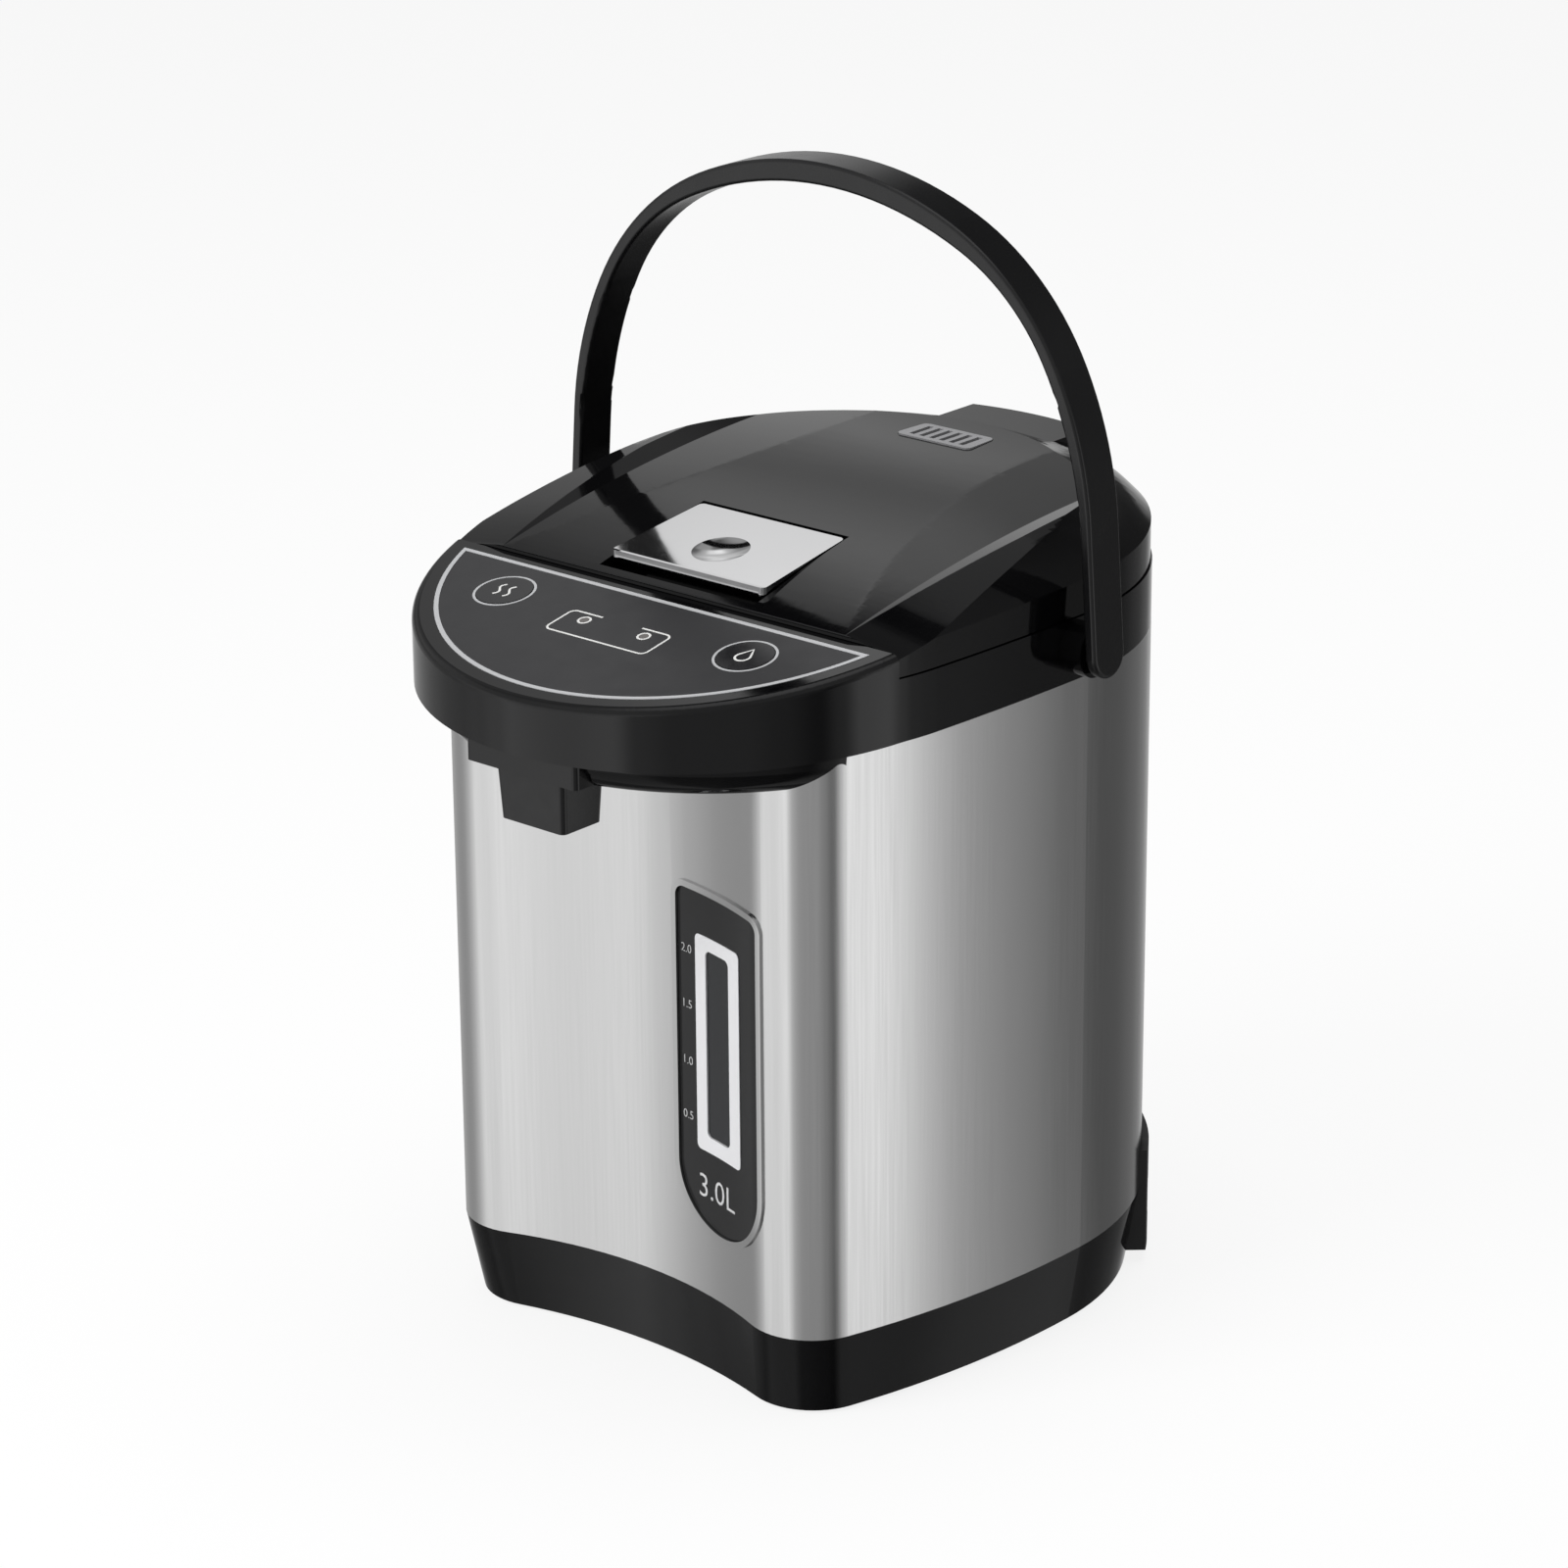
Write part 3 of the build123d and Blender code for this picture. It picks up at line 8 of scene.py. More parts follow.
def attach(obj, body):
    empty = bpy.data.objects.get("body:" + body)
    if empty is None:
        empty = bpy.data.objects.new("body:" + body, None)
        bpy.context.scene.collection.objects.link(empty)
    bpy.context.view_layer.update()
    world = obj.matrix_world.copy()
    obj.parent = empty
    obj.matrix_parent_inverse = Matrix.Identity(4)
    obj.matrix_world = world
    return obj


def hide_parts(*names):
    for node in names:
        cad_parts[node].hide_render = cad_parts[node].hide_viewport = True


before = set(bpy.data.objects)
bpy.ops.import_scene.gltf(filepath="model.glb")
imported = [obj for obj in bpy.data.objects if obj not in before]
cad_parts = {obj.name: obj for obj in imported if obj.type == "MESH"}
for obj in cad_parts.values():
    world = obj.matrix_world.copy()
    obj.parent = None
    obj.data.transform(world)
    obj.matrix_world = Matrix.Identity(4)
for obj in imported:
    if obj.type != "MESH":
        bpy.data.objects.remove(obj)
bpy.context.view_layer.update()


# ---- Stainless body shell
# One rolled sheet of 18/8 stainless steel, satin ground so that very fine grain runs up the wall.
# The grain widens every reflection sideways a little and leaves it long and smooth upwards.
MIDDLE_OF_NOISE = (0.25, 0.75)        # nearly all of Blender's noise lies between these


def colour(hex_code):
    """sRGB hex to the linear colour that a shader socket takes."""
    parts = [int(hex_code[i:i + 2], 16) / 255 for i in (1, 3, 5)]
    return [c / 12.92 if c <= 0.04045 else ((c + 0.055) / 1.055) ** 2.4 for c in parts] + [1.0]


def add(tree, kind, values=None, links=None, **settings):
    """Adds one node: values by socket name or number, links as socket to (node, output)."""
    made = tree.nodes.new(kind)
    for key, value in settings.items():
        setattr(made, key, value)
    for key, value in (values or {}).items():
        made.inputs[key].default_value = value
    for key, (source, output) in (links or {}).items():
        tree.links.new(source.outputs[output], made.inputs[key])
    return made


def finish(name, hex_code, cloud, pores=None, cloud_along=(1, 1, 1), pores_along=(1, 1, 1), **surface):
    """One finish of a real surface, with sizes in millimetres on the piece.

    cloud is the unevenness of the gloss: spot size, detail, and the roughness from and to.
    pores is the relief: spot size, detail and height.  A number over 1 in cloud_along or
    pores_along makes the spots that many times longer along X, Y or Z.
    """
    material = bpy.data.materials.new(name)
    material.use_nodes = True
    tree = material.node_tree
    tree.nodes.clear()
    place = add(tree, "ShaderNodeTexCoord")
    keys = {key.replace("_", " "): value for key, value in surface.items()}
    shader = add(tree, "ShaderNodeBsdfPrincipled", {"Base Color": colour(hex_code), **keys})
    add(tree, "ShaderNodeOutputMaterial", links={"Surface": (shader, "BSDF")})

    def spots(size, detail, along):
        scale = [1000.0 / size / stretch for stretch in along]
        spread = add(tree, "ShaderNodeMapping", {"Scale": scale}, {"Vector": (place, "Object")})
        return add(tree, "ShaderNodeTexNoise", {"Scale": 1.0, "Detail": detail}, {"Vector": (spread, "Vector")})

    size, detail, low, high = cloud
    noise_low, noise_high = MIDDLE_OF_NOISE
    span = add(tree, "ShaderNodeMapRange",
               {"From Min": noise_low, "From Max": noise_high, "To Min": low, "To Max": high},
               {"Value": (spots(size, detail, cloud_along), "Fac")})
    tree.links.new(span.outputs["Result"], shader.inputs["Roughness"])
    if pores:
        size, detail, height = pores
        bump = add(tree, "ShaderNodeBump", {"Strength": 1.0, "Distance": height / 1000},
                   {"Height": (spots(size, detail, pores_along), "Fac")})
        tree.links.new(bump.outputs["Normal"], shader.inputs["Normal"])
    return material


def dress(material, *nodes):
    """Gives the material to solids that are kept as they are."""
    for name in nodes:
        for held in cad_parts[name].material_slots:
            held.material = material


# Grain 0.9 mm apart and 54 mm long, coarser than the real grit so that it shows.
UP_THE_WALL = (1, 1, 60)
steel = finish("satin_stainless", "#D9D9D9", cloud=(0.9, 2.0, 0.16, 0.24), pores=(0.9, 2.0, 0.004),
               cloud_along=UP_THE_WALL, pores_along=UP_THE_WALL, Metallic=1.0, Roughness=0.19)
dress(steel, "steel_body")


# ---- Collar, nose cover, hinge block, bosses and skirt
# Injection-moulded ABS in black, from polished tools: a mirror gloss with the faint waviness of a
# moulded wall and a film of very fine wiping marks.
gloss = finish("gloss_black_abs", "#060607", cloud=(1.6, 4.0, 0.05, 0.09), pores=(9.0, 1.0, 0.010),
               cloud_along=(1, 7, 1), Roughness=0.06, IOR=1.46)
dress(gloss, "collar", "lid_shell", "hinge_block", "base_skirt", "nose_cover", "handle_bosses")


# ---- Spout
# Injection-moulded black ABS from a finely etched tool, screwed up into the hull under the nose.
# It is a shade duller than the collar, with short soft highlights on its edges.
spout_black = finish("spout_black_abs", "#101011", cloud=(6.0, 2.0, 0.18, 0.27), pores=(0.5, 2.0, 0.006),
                     Roughness=0.22, IOR=1.5)
dress(spout_black, "spout")


# ---- Lid shell
# The same gloss black ABS in one moulding.  Beside the centre field its top sinks to a valley line
# and rises again in a narrow bank, which thins to nothing at the panel.  The solid has this at the
# rear only, so a copy of its mesh is cut here over the whole length.
VALLEY_X = 0.0760                     # valley line, from the middle of the lid
BANK_WIDE, FIELD_WIDE, FIELD_IN = 0.0086, 0.0300, 0.0700
BANK_UP, FIELD_DOWN, FIELD_SINK = (math.tan(math.radians(a)) for a in (13.3, 9.0, 4.1))
ARC_Y, ARC_R, ARC_Z = 0.0950, 0.6860, 0.2889      # the valley's long arc: its top and its radius
CROWN_R, VALLEY_DEEP = 0.6000, 0.0026             # the uncut top's arc, and its height over the valley
THINNEST_BANK = 0.0002
CUT_FROM, CUT_TO, CUT_STEPS = -0.0900, 0.0280, 60
CUT_ABOVE = 0.03
SAME_POINT, SAME_AFTER_CUT = 1e-6, 2e-6
TOP_LOW = ARC_Z - 0.025               # the lid's top lies above this
LEVEL = 0.9                           # upward part of the normal on the lid's top
CELL, CELL_SHIFT = 0.003, 0.00013     # the top is divided this finely, off the solid's own edges
CELLS_FROM = ((0, -0.100, 68), (1, -0.064, 60))   # axis, first line, number of lines
SNAP = 0.00005                        # how far a point may be from the true surface and be put on it
CREASE_ON_TOP, CREASE_ELSEWHERE = math.radians(7), math.radians(28)


def arc_height(top, radius, y, rise=0.0):
    """Height at y of a long arc about ARC_Y, on a radius that is larger by rise."""
    return top - radius + math.sqrt((radius + rise) ** 2 - (y - ARC_Y) ** 2)


def crown_and_bank(y):
    """Height of the uncut lid top, and the width of the bank."""
    crown = arc_height(ARC_Z + VALLEY_DEEP, CROWN_R, y)
    deep = crown - arc_height(ARC_Z, ARC_R, y)
    return crown, max(min(BANK_WIDE, deep / BANK_UP), THINNEST_BANK)


def lid_top(x, y):
    """Height of the finished lid top."""
    crown, bank = crown_and_bank(y)
    out = abs(x) - VALLEY_X
    rise = -out * FIELD_SINK if out < 0 else min(out, bank) * BANK_UP - max(out - bank, 0) * FIELD_DOWN
    return min(crown, arc_height(ARC_Z, ARC_R, y, rise))


def piece_of(name, bm):
    """A new object at the origin that holds the mesh as it is."""
    mesh = bpy.data.meshes.new(name)
    bm.to_mesh(mesh)
    bm.free()
    piece = bpy.data.objects.new(name, mesh)
    bpy.context.collection.objects.link(piece)
    return piece


def evaluated_mesh(piece):
    return bpy.data.meshes.new_from_object(piece.evaluated_get(bpy.context.evaluated_depsgraph_get()))


def valley_tool(side):
    """Closed block above the valley surface, from in front of the lid to where the solid has it."""
    bm = bmesh.new()
    rows = []
    for i in range(CUT_STEPS + 1):
        y = CUT_FROM + (CUT_TO - CUT_FROM) * i / CUT_STEPS
        bank = crown_and_bank(y)[1]
        crest = bank * BANK_UP
        across = [(-FIELD_IN, FIELD_IN * FIELD_SINK), (0, 0), (bank, crest),
                  (bank + FIELD_WIDE, crest - FIELD_WIDE * FIELD_DOWN)]
        low = [bm.verts.new((side * (VALLEY_X + x), y, arc_height(ARC_Z, ARC_R, y, rise)))
               for x, rise in across]
        high = [bm.verts.new((v.co.x, y, ARC_Z + CUT_ABOVE)) for v in reversed(low)]
        rows.append(low + high)
    for a, b in zip(rows, rows[1:]):
        for k in range(len(a)):
            j = (k + 1) % len(a)
            bm.faces.new((a[k], a[j], b[j], b[k]))
    bm.faces.new(rows[0])
    bm.faces.new(rows[-1][::-1])
    bmesh.ops.recalc_face_normals(bm, faces=bm.faces)
    return piece_of("valley_tool", bm)


bm = bmesh.new()
bm.from_mesh(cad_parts["lid_shell"].data)
bmesh.ops.remove_doubles(bm, verts=bm.verts, dist=SAME_POINT)
moulding = piece_of("lid_moulding", bm)
tools = [valley_tool(side) for side in (-1, 1)]
for tool in tools:
    cut = moulding.modifiers.new("valley", "BOOLEAN")
    cut.operation, cut.solver, cut.object = "DIFFERENCE", "EXACT", tool
bm = bmesh.new()
bm.from_mesh(evaluated_mesh(moulding))
moulding.modifiers.clear()
for tool in tools:
    bpy.data.objects.remove(tool)
bmesh.ops.remove_doubles(bm, verts=bm.verts, dist=SAME_AFTER_CUT)
bmesh.ops.dissolve_degenerate(bm, edges=bm.edges, dist=SAME_AFTER_CUT)
bm.normal_update()

# The top is divided into small cells and put on its true arcs, so that it mirrors without steps.
top = [f for f in bm.faces if f.normal.z > LEVEL and all(v.co.z > TOP_LOW for v in f.verts)]
geom = list({v for f in top for v in f.verts}) + list({e for f in top for e in f.edges}) + top
for axis, first, count in CELLS_FROM:
    for i in range(count):
        at, ahead = [0, 0, 0], [0, 0, 0]
        at[axis], ahead[axis] = first + CELL * i + CELL_SHIFT, 1
        geom = bmesh.ops.bisect_plane(bm, geom=geom, plane_co=at, plane_no=ahead, dist=1e-7)["geom"]
bmesh.ops.triangulate(bm, faces=[f for f in bm.faces if len(f.verts) > 4])
bm.normal_update()
for v in {v for f in bm.faces if f.normal.z > LEVEL for v in f.verts}:
    height = lid_top(v.co.x, v.co.y)
    if abs(v.co.z - height) < SNAP:
        v.co.z = height
bm.normal_update()
for f in bm.faces:
    f.smooth = True
for e in bm.edges:
    on_top = all(f.normal.z > LEVEL for f in e.link_faces)
    crease = CREASE_ON_TOP if on_top else CREASE_ELSEWHERE
    e.smooth = len(e.link_faces) == 2 and e.calc_face_angle(0.0) < crease
bm.to_mesh(moulding.data)
bm.free()
even = moulding.modifiers.new("even_normals", "WEIGHTED_NORMAL")
even.keep_sharp = True
even.weight = 50
moulding.data = evaluated_mesh(moulding)
moulding.modifiers.clear()
moulding.data.materials.clear()
moulding.data.materials.append(gloss)
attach(moulding, "lid")
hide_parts("lid_shell")


# ---- Carrying bail
# Glass-filled polypropylene strap, moulded with a fine spark-eroded grain and sprung onto its two
# bosses: soft black with a broad sheen.
bail_black = finish("grained_black_pp", "#101011", cloud=(14.0, 3.0, 0.18, 0.28), pores=(0.45, 2.0, 0.008),
                    Roughness=0.22, IOR=1.50)
dress(bail_black, "handle_bail")


# ---- Control panel
# A sheet of screen-printed polycarbonate film in dark grey, glued into the nose top, with a silver
# trim round it, two ringed buttons and two small lamps.
# The film has a fine emboss that keeps reflections blurred.
film = finish("printed_grey_film", "#242426", cloud=(10.0, 2.0, 0.27, 0.34), pores=(0.35, 2.0, 0.006),
              Roughness=0.32, IOR=1.50)
dress(film, "control_panel")

# Foil stamped onto plastic: half metal, half lacquer, so it stays light from every side.
silver = finish("hot_stamped_silver", "#CBCCCE", cloud=(1.2, 3.0, 0.28, 0.38), Metallic=0.35, Roughness=0.32)
dress(silver, "panel_trim", "button_rings")

# Button caps in smooth ABS, rubbed a little shiny by fingers.
cap = finish("button_black_abs", "#1B1B1D", cloud=(4.0, 2.0, 0.11, 0.18), Roughness=0.14, IOR=1.52)
dress(cap, "reboil_button", "dispense_button")

# Unlit acrylic lamp lenses: grey, with a small sharp highlight.
lens = finish("lamp_lens_clear", "#5A5654", cloud=(1.0, 2.0, 0.10, 0.16), Roughness=0.12, IOR=1.49)
dress(lens, "indicator_lenses")


# ---- Print on the panel
# Silver ink: a frame with an open top round the two lamps, a ring round each lamp, and a plain
# sign on each button (two waves of steam, and a drop).
PANEL_TILT = math.radians(10.3)
PANEL_Y, PANEL_Z = -0.0610, 0.2693    # a point of the film's face
INK = 0.00006                         # thickness of a printed line
FILM_LIFT, CAP_LIFT = 0.00008, 0.00036            # height of the ink's face over the film's
LINE_WIDE, SIGN_WIDE = 0.00075, 0.0008
BOX_X, BOX_TOP, BOX_LOW, BOX_R, BOX_GAP = 0.0220, -0.0818, -0.0960, 0.0024, 0.0088
LAMP_X, LAMP_Y, LAMP_RING = 0.0132, -0.0860, 0.0021
BUTTON_X, BUTTON_Y = 0.0535, -0.0818
WAVE_APART, WAVE_SWING, WAVE_LOW, WAVE_STEP, WAVE_TURN = 0.0022, 0.0011, 0.0036, 0.0008, 0.7
DROP_R, DROP_LOW, DROP_TIP = 0.0026, 0.0012, 0.0044


def on_panel(x, y, lift=0.0):
    """Point of the sloping nose top, lifted along its normal."""
    z = PANEL_Z + (y - PANEL_Y) * math.tan(PANEL_TILT)
    return Vector((x, y - lift * math.sin(PANEL_TILT), z + lift * math.cos(PANEL_TILT)))


def printed(name, paths, width, lift, body):
    """Ink lines on the panel: each path of (x, y) points is widened, thickened and seated."""
    bm = bmesh.new()
    for points, closed in paths:
        count = len(points)
        rows = []
        for i, p in enumerate(points):
            before = points[i - 1] if closed or i > 0 else p
            after = points[(i + 1) % count] if closed or i < count - 1 else p
            ahead = Vector((after[0] - before[0], after[1] - before[1])).normalized()
            side = Vector((-ahead.y, ahead.x)) * width / 2
            rows.append([bm.verts.new(on_panel(p[0] + s * side.x, p[1] + s * side.y, h))
                         for s, h in ((-1, lift), (1, lift), (1, lift - INK), (-1, lift - INK))])
        for i in range(count if closed else count - 1):
            a, b = rows[i], rows[(i + 1) % count]
            for k in range(4):
                bm.faces.new((a[k], b[k], b[(k + 1) % 4], a[(k + 1) % 4]))
        if not closed:
            bm.faces.new(rows[0])
            bm.faces.new(rows[-1][::-1])
    bmesh.ops.recalc_face_normals(bm, faces=bm.faces)
    piece = piece_of(name, bm)
    piece.data.materials.append(ink)
    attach(piece, body)


def bow(cx, cy, r, a0, a1, steps):
    """Points of an arc, angles in degrees."""
    return [(cx + r * math.cos(math.radians(a0 + (a1 - a0) * i / steps)),
             cy + r * math.sin(math.radians(a0 + (a1 - a0) * i / steps))) for i in range(steps + 1)]


# Screen ink with metal flake: light grey and matt beside the stamped trim.
ink = finish("silver_ink", "#DCDCDA", cloud=(0.6, 2.0, 0.38, 0.52), Roughness=0.45)
box_line = ([(-BOX_GAP, BOX_TOP)] + bow(-BOX_X + BOX_R, BOX_TOP - BOX_R, BOX_R, 90, 180, 8)
            + bow(-BOX_X + BOX_R, BOX_LOW + BOX_R, BOX_R, 180, 270, 8)
            + bow(BOX_X - BOX_R, BOX_LOW + BOX_R, BOX_R, 270, 360, 8)
            + bow(BOX_X - BOX_R, BOX_TOP - BOX_R, BOX_R, 0, 90, 8) + [(BOX_GAP, BOX_TOP)])
lamp_rings = [(bow(side * LAMP_X, LAMP_Y, LAMP_RING, 0, 350, 35), True) for side in (-1, 1)]
printed("panel_print", [(box_line, False)] + lamp_rings, LINE_WIDE, FILM_LIFT, "pot")
steam = [([(-BUTTON_X + x + WAVE_SWING * math.sin(i * WAVE_TURN), BUTTON_Y - WAVE_LOW + i * WAVE_STEP)
           for i in range(10)], False) for x in (-WAVE_APART, WAVE_APART)]
printed("steam_sign", steam, SIGN_WIDE, CAP_LIFT, "reboil")
drop = bow(BUTTON_X, BUTTON_Y - DROP_LOW, DROP_R, -205, 25, 18) + [(BUTTON_X, BUTTON_Y + DROP_TIP)]
printed("drop_sign", [(drop, True)], SIGN_WIDE, CAP_LIFT, "dispense")


# ---- Level gauge
# A gloss black label plate in the embossed window of the shell, with a raised white frame, a smoked
# clear window, and the glass sight tube behind it.
label = finish("gloss_black_label", "#161617", cloud=(8.0, 2.0, 0.17, 0.24), Roughness=0.20, IOR=1.5)
dress(label, "gauge_label")

# White ABS from a satin tool, which looks even and soft against the label.
white = finish("white_abs", "#E6E6E8", cloud=(3.0, 2.0, 0.30, 0.40), Roughness=0.35, IOR=1.5)
dress(white, "gauge_frame")

# Dark tinted acrylic: the tube behind it only just shows.
smoked = finish("smoked_window", "#2B2C2E", cloud=(5.0, 2.0, 0.06, 0.11), Roughness=0.08, IOR=1.49, Alpha=0.93)
dress(smoked, "gauge_window")

# Drawn borosilicate tube, clear with a bright line along each side.
glass = finish("sight_glass", "#E8EEF0", cloud=(5.0, 1.0, 0.02, 0.05), Roughness=0.03, IOR=1.47,
               Transmission_Weight=1.0)
dress(glass, "sight_tube")


# ---- Figures of the gauge
# White screen ink on the label, matt and thin: the scale in half litres left of the window, and the
# full amount under it.
FRONT_R, FRONT_Y = 0.156, -0.0752     # radius of the hollow front wall, and its deepest line
FIGURE_OF_FONT = 0.70                 # height of a figure over the size of the font
LONG_EDGE = 0.002
LABEL_FACE = -0.00012                 # outwards from the steel's face
SCALE_X, SCALE_HIGH, SCALE_THIN = 0.0212, 0.0031, 0.00005
FULL_X, FULL_Z, FULL_HIGH, FULL_THIN = 0.0362, 0.0700, 0.0086, 0.00006


def on_front(x, z, lift=0.0):
    """Point of the hollow front wall, lifted outwards."""
    centre = FRONT_Y - FRONT_R
    reach = FRONT_R - lift
    return Vector((x * reach / FRONT_R, centre + math.sqrt(reach * reach - (x * reach / FRONT_R) ** 2), z))


def figures(name, body, height, thin, x, z):
    """Figures as a thin ink relief that follows the hollow front."""
    text = bpy.data.curves.new(name, "FONT")
    text.body = body
    text.size = height / FIGURE_OF_FONT
    text.offset = -thin
    text.align_x = "CENTER"
    text.align_y = "CENTER"
    text.resolution_u = 3
    holder = bpy.data.objects.new(name, text)
    bpy.context.collection.objects.link(holder)
    flat = evaluated_mesh(holder)
    bpy.data.objects.remove(holder)
    bm = bmesh.new()
    bm.from_mesh(flat)
    bmesh.ops.remove_doubles(bm, verts=bm.verts, dist=SAME_POINT)
    bmesh.ops.subdivide_edges(bm, edges=[e for e in bm.edges if e.calc_length() > LONG_EDGE], cuts=2)
    out = bmesh.ops.extrude_face_region(bm, geom=bm.faces[:])
    raised = {v for v in out["geom"] if isinstance(v, bmesh.types.BMVert)}
    for v in bm.verts:
        v.co = on_front(x + v.co.x, z + v.co.y, LABEL_FACE if v in raised else LABEL_FACE - INK)
    bmesh.ops.recalc_face_normals(bm, faces=bm.faces)
    piece = piece_of(name, bm)
    piece.data.materials.append(white_ink)
    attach(piece, "pot")


white_ink = finish("white_ink", "#D9D9DA", cloud=(0.5, 2.0, 0.42, 0.58), Roughness=0.5)
for litres, height in (("2.0", 0.1545), ("1.5", 0.1345), ("1.0", 0.1140), ("0.5", 0.0940)):
    figures("scale_" + litres.replace(".", "_"), litres, SCALE_HIGH, SCALE_THIN, SCALE_X, height)
figures("scale_full", "3.0L", FULL_HIGH, FULL_THIN, FULL_X, FULL_Z)


# ---- Release plate
# Chromed ABS, polished and bright, with a moulded thumb hollow.  It turns on a pin in the lid and
# mirrors the sky, broken by the dark bail.
chrome = finish("chromed_abs", "#F1F1F2", cloud=(12.0, 2.0, 0.05, 0.09), Metallic=1.0, Roughness=0.06)
dress(chrome, "release_plate")


# ---- Pins and screws
# Drawn and headed steel, zinc plated in a barrel: pale grey metal with a slightly clouded shine.
# The pins are pressed into the ears of the lid, and the screws hold the board and the base plate.
bright = finish("zinc_plated_steel", "#B9BABC", cloud=(0.8, 3.0, 0.20, 0.34), Metallic=1.0, Roughness=0.25)
dress(bright, "hinge_pin", "release_pin", "board_screws", "base_screws")


# ---- Steam grille
# Light grey heat-resistant PP, moulded with a light grain and pressed into the lid's opening.
# It stays dull in every light.
grille = finish("grey_grained_pp", "#8E8E90", cloud=(5.0, 2.0, 0.34, 0.44), pores=(0.4, 2.0, 0.01),
                Roughness=0.38, IOR=1.49)
dress(grille, "steam_grille")


# ---- Base plate, feet and power inlet
# Black ABS with a spark-eroded face under the pot, rubber feet pressed in, and a grained black
# socket housing with bare brass pins at the rear right.
base_black = finish("grained_black_abs", "#19191A", cloud=(9.0, 2.0, 0.40, 0.52), pores=(0.6, 3.0, 0.03),
                    Roughness=0.46, IOR=1.5)
dress(base_black, "base_plate", "power_inlet")

# Moulded rubber is nearly without shine.  Its roughness hardly varies, so the cloud is narrow.
rubber = finish("foot_rubber", "#1A1A1A", cloud=(4.0, 2.0, 0.74, 0.76), pores=(0.8, 4.0, 0.04),
                Roughness=0.75, IOR=1.5)
dress(rubber, "rubber_feet", "motor_seat")

# Turned brass, dulled by handling: warm yellow inside the dark socket.
brass = finish("bare_brass", "#C9A45C", cloud=(0.8, 3.0, 0.20, 0.32), Metallic=1.0, Roughness=0.25)
dress(brass, "inlet_pins")


# ---- Inside: tank, lid underside, hoses, pump, heater and board
# These show when the lid is open, or from below.
# The tank, the lid's inner plate, the motor can and the heater's shell are deep-drawn stainless
# steel, with draw marks that run round them.
tank = finish("deep_drawn_stainless", "#C8C7C4", cloud=(2.0, 3.0, 0.25, 0.37), cloud_along=(6, 6, 1),
              Metallic=1.0, Roughness=0.30)
dress(tank, "inner_tank", "lid_plate", "heater", "pump_motor")

# Uncoloured PP mouldings: a warm grey with a waxy, broken shine.
natural = finish("natural_grey_pp", "#A9A8A3", cloud=(8.0, 2.0, 0.36, 0.48), pores=(0.7, 3.0, 0.015),
                 Roughness=0.42, IOR=1.49)
dress(natural, "lid_tray", "steam_duct", "latch_slider", "pump_housing", "pump_impeller", "thermostat")

# Silicone hoses and seal: milky, with light that seeps about 2 mm into them.
milky = finish("milky_silicone", "#D3D1CB", cloud=(3.0, 3.0, 0.34, 0.48), Roughness=0.40, IOR=1.41,
               Subsurface_Weight=0.25, Subsurface_Radius=(0.002, 0.002, 0.002))
dress(milky, "lid_gasket", "tank_hose", "riser_hose", "tube_coupling", "outlet_pipe")

# Glass-fibre board under green solder resist, with a faint gloss.
board = finish("green_glass_fibre", "#1F5A34", cloud=(1.5, 3.0, 0.28, 0.42), Roughness=0.35, IOR=1.55)
dress(board, "control_board")


# ---- Studio table
# A plain pale table.  It is mixed with white for the camera alone, so that the object's shadow stays
# soft, and it doesn't show in gloss, where the lower surround stands for it.
bm = bmesh.new()
bmesh.ops.create_grid(bm, x_segments=1, y_segments=1, size=4.0)
table = piece_of("table", bm)
table.visible_glossy = False

pale = bpy.data.materials.new("pale_table")
pale.use_nodes = True
tree = pale.node_tree
tree.nodes.clear()
rays = add(tree, "ShaderNodeLightPath")
matte = add(tree, "ShaderNodeBsdfDiffuse", {"Color": colour("#F7F7F7")})
white_back = add(tree, "ShaderNodeEmission", {"Color": (1, 1, 1, 1), "Strength": 1.0})
blend_in = add(tree, "ShaderNodeMixShader", {"Fac": 0.85}, {1: (matte, "BSDF"), 2: (white_back, "Emission")})
seen = add(tree, "ShaderNodeMixShader",
           links={"Fac": (rays, "Is Camera Ray"), 1: (matte, "BSDF"), 2: (blend_in, "Shader")})
add(tree, "ShaderNodeOutputMaterial", links={"Surface": (seen, "Shader")})
table.data.materials.append(pale)


# ---- Studio surround
# White for the camera.  For light and reflections it is a room of grey bands: a long bright wall at
# the left front, a narrow one at the right and dark gaps between them, which draw the upright bands
# on the steel, with further rings above that shape the lid.
world = bpy.data.worlds.new("studio")
bpy.context.scene.world = world
world.use_nodes = True
tree = world.node_tree
tree.nodes.clear()
sky = add(tree, "ShaderNodeTexCoord")
parts = add(tree, "ShaderNodeSeparateXYZ", links={"Vector": (sky, "Generated")})
turn = add(tree, "ShaderNodeMath", links={0: (parts, "Y"), 1: (parts, "X")}, operation="ARCTAN2")
round_way = add(tree, "ShaderNodeMapRange", {"From Min": -math.pi, "From Max": math.pi},
                {"Value": (turn, "Value")})


def bands(stops):
    """Grey levels round the pot: azimuth in degrees from +X towards +Y, and brightness."""
    ramp = add(tree, "ShaderNodeValToRGB", links={"Fac": (round_way, "Result")})
    ramp.color_ramp.interpolation = "EASE"
    edge = ramp.color_ramp.elements
    while len(edge) > 1:
        edge.remove(edge[-1])
    for i, (azimuth, level) in enumerate(stops):
        stop = edge[0] if i == 0 else edge.new((azimuth + 180) / 360)
        stop.position = (azimuth + 180) / 360
        stop.color = (level, level, level, 1)
    return ramp


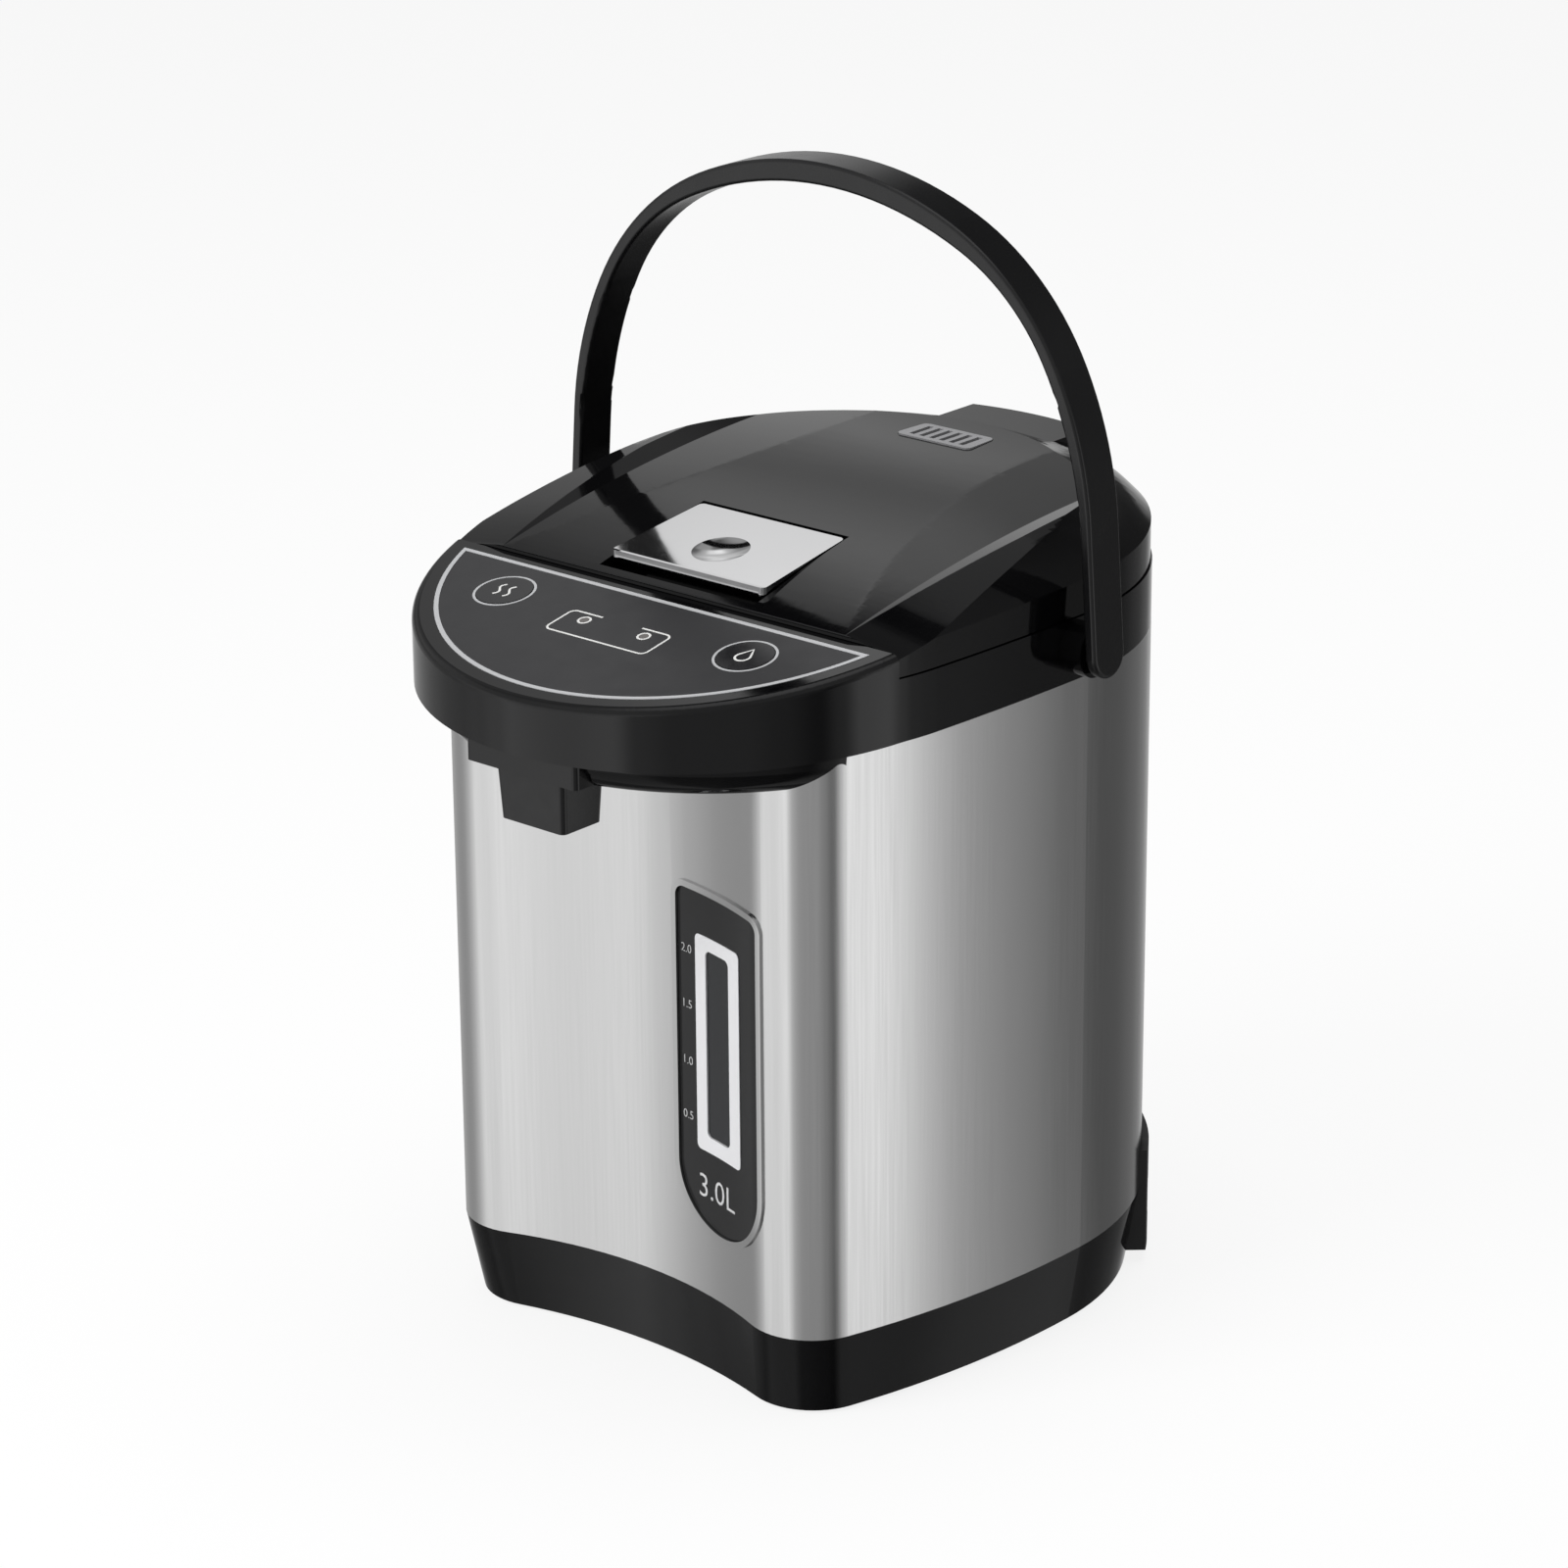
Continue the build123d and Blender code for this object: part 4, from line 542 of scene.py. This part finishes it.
# The walls, as the steel and the collar mirror them.
walls = bands([
    (-180, 0.36), (-172, 0.34), (-161, 0.37), (-150, 0.50), (-140, 0.70), (-131, 0.98), (-108, 0.92),
    (-88, 1.08), (-78, 0.5), (-64, 0.36), (-38, 0.36), (-24, 0.27), (-9, 0.12), (0, 0.4), (8, 1.05),
    (19, 1.15), (26, 0.6), (31, 0.38), (40, 0.28), (50, 0.15), (60, 0.09), (75, 0.10), (92, 0.15),
    (103, 0.22), (122, 0.62), (137, 0.65), (150, 0.45), (180, 0.36)])
# The table's part of the reflections, which the sloping skirt shows.
low_down = bands([
    (-180, 0.09), (-150, 0.13), (-131, 0.29), (-88, 0.32), (-70, 0.13), (-24, 0.08), (-9, 0.05),
    (8, 0.3), (22, 0.3), (31, 0.26), (42, 0.34), (58, 0.34), (70, 0.1), (103, 0.07), (137, 0.19),
    (180, 0.09)])
lift = add(tree, "ShaderNodeMapRange", {"From Min": -0.62, "From Max": -0.42}, {"Value": (parts, "Z")})
around = add(tree, "ShaderNodeMix", links={0: (lift, "Result"), 6: (low_down, "Color"), 7: (walls, "Color")},
             data_type="RGBA")
# Rings from the horizon up: the sine of the elevation where each begins and is full, and its bands.
rings = [
    # lights the narrow bank of the lid's right valley
    (0.00, 0.07, [
        (-180, 0.3), (-130, 0.8), (-90, 0.9), (-60, 0.4), (-10, 0.2), (15, 0.9), (35, 0.3), (60, 0.06),
        (100, 0.06), (124, 0.08), (129, 0.40), (133, 0.68), (138, 0.58), (143, 0.30), (149, 0.15),
        (180, 0.3)]),
    # lights the rear of the lid's centre field
    (0.21, 0.33, [
        (-180, 0.45), (-150, 0.5), (-100, 0.6), (-60, 0.4), (0, 0.4), (40, 0.2), (80, 0.08), (110, 0.1),
        (120, 0.10), (124, 0.28), (128, 0.52), (131, 0.70), (136, 0.58), (150, 0.3), (180, 0.45)]),
    # its middle, with the shade at the right
    (0.34, 0.42, [
        (-180, 0.45), (-150, 0.5), (-100, 0.6), (-60, 0.4), (0, 0.4), (40, 0.2), (80, 0.08), (110, 0.06),
        (119, 0.06), (123, 0.20), (126, 0.38), (129, 0.48), (136, 0.50), (148, 0.22), (180, 0.45)]),
    # the chrome plate
    (0.44, 0.53, [
        (-180, 0.45), (-150, 0.5), (-100, 0.6), (-60, 0.4), (0, 0.4), (40, 0.2), (80, 0.08), (112, 0.04),
        (118, 0.05), (122, 0.12), (127, 0.40), (131, 0.74), (137, 0.90), (142, 0.45), (148, 0.2),
        (180, 0.45)]),
    # the outer fields and the left valley's dark bank
    (0.61, 0.67, [
        (-180, 0.3), (-120, 0.6), (-60, 0.4), (0, 0.4), (60, 0.1), (100, 0.05), (118, 0.12), (122, 0.28),
        (130, 0.30), (134, 0.14), (140, 0.08), (160, 0.3), (180, 0.3)]),
    # the white ceiling, for the tank and the top seen from above
    (0.86, 0.96, [(-180, 1.0), (180, 1.0)]),
]
for z_from, z_to, stops in rings:
    climb = add(tree, "ShaderNodeMapRange", {"From Min": z_from, "From Max": z_to}, {"Value": (parts, "Z")})
    ring = bands(stops)
    around = add(tree, "ShaderNodeMix",
                 links={0: (climb, "Result"), 6: (around, "Result"), 7: (ring, "Color")}, data_type="RGBA")
rays = add(tree, "ShaderNodeLightPath")
shown = add(tree, "ShaderNodeMix", {7: (1.0, 1.0, 1.0, 1.0)},
            {0: (rays, "Is Camera Ray"), 6: (around, "Result")}, data_type="RGBA")
air = add(tree, "ShaderNodeBackground", {"Strength": 1.0}, {"Color": (shown, "Result")})
add(tree, "ShaderNodeOutputWorld", links={"Surface": (air, "Background")})


# ---- Lamps
# Two large soft boxes, one at the left front and one overhead, which throw the soft shadow.
# Gloss doesn't mirror them, because the surround already has their bands.
def softbox(name, at, target, size, watts):
    lamp = bpy.data.lights.new(name, "AREA")
    lamp.shape = "RECTANGLE"
    lamp.size, lamp.size_y = size
    lamp.energy = watts
    holder = bpy.data.objects.new(name, lamp)
    holder.location = at
    holder.rotation_mode = "QUATERNION"
    holder.rotation_quaternion = (Vector(target) - Vector(at)).to_track_quat("-Z", "Y")
    bpy.context.collection.objects.link(holder)
    holder.visible_glossy = False


softbox("key_softbox", (-0.5, -1.7, 1.6), (0, 0, 0.15), (1.0, 1.0), 22)
softbox("top_softbox", (0.1, 0.3, 2.0), (0, 0, 0.2), (1.4, 1.4), 16)


# ---- Camera
# It stands at the front right, a little above the lid, with a long lens that keeps the walls nearly
# parallel.
CAMERA_AT = (1.07632, -1.23993, 0.78643)
LENS_MM, SENSOR_MM = 116.46, 36
azimuth, elevation, roll = math.radians(41.0), math.radians(20.0765), math.radians(-0.43762)
back = Vector((math.sin(azimuth) * math.cos(elevation), -math.cos(azimuth) * math.cos(elevation),
               math.sin(elevation)))
right = Vector((math.cos(azimuth), math.sin(azimuth), 0))
up = back.cross(right)
across = math.cos(roll) * right + math.sin(roll) * up
upright = -math.sin(roll) * right + math.cos(roll) * up
lens_data = bpy.data.cameras.new("studio_camera")
lens_data.sensor_width = SENSOR_MM
lens_data.lens = LENS_MM
camera = bpy.data.objects.new("studio_camera", lens_data)
turned = Matrix((across, upright, back)).transposed().to_4x4()
turned.translation = Vector(CAMERA_AT)
camera.matrix_world = turned
bpy.context.collection.objects.link(camera)
bpy.context.scene.camera = camera
bpy.context.scene.view_settings.view_transform = "Standard"
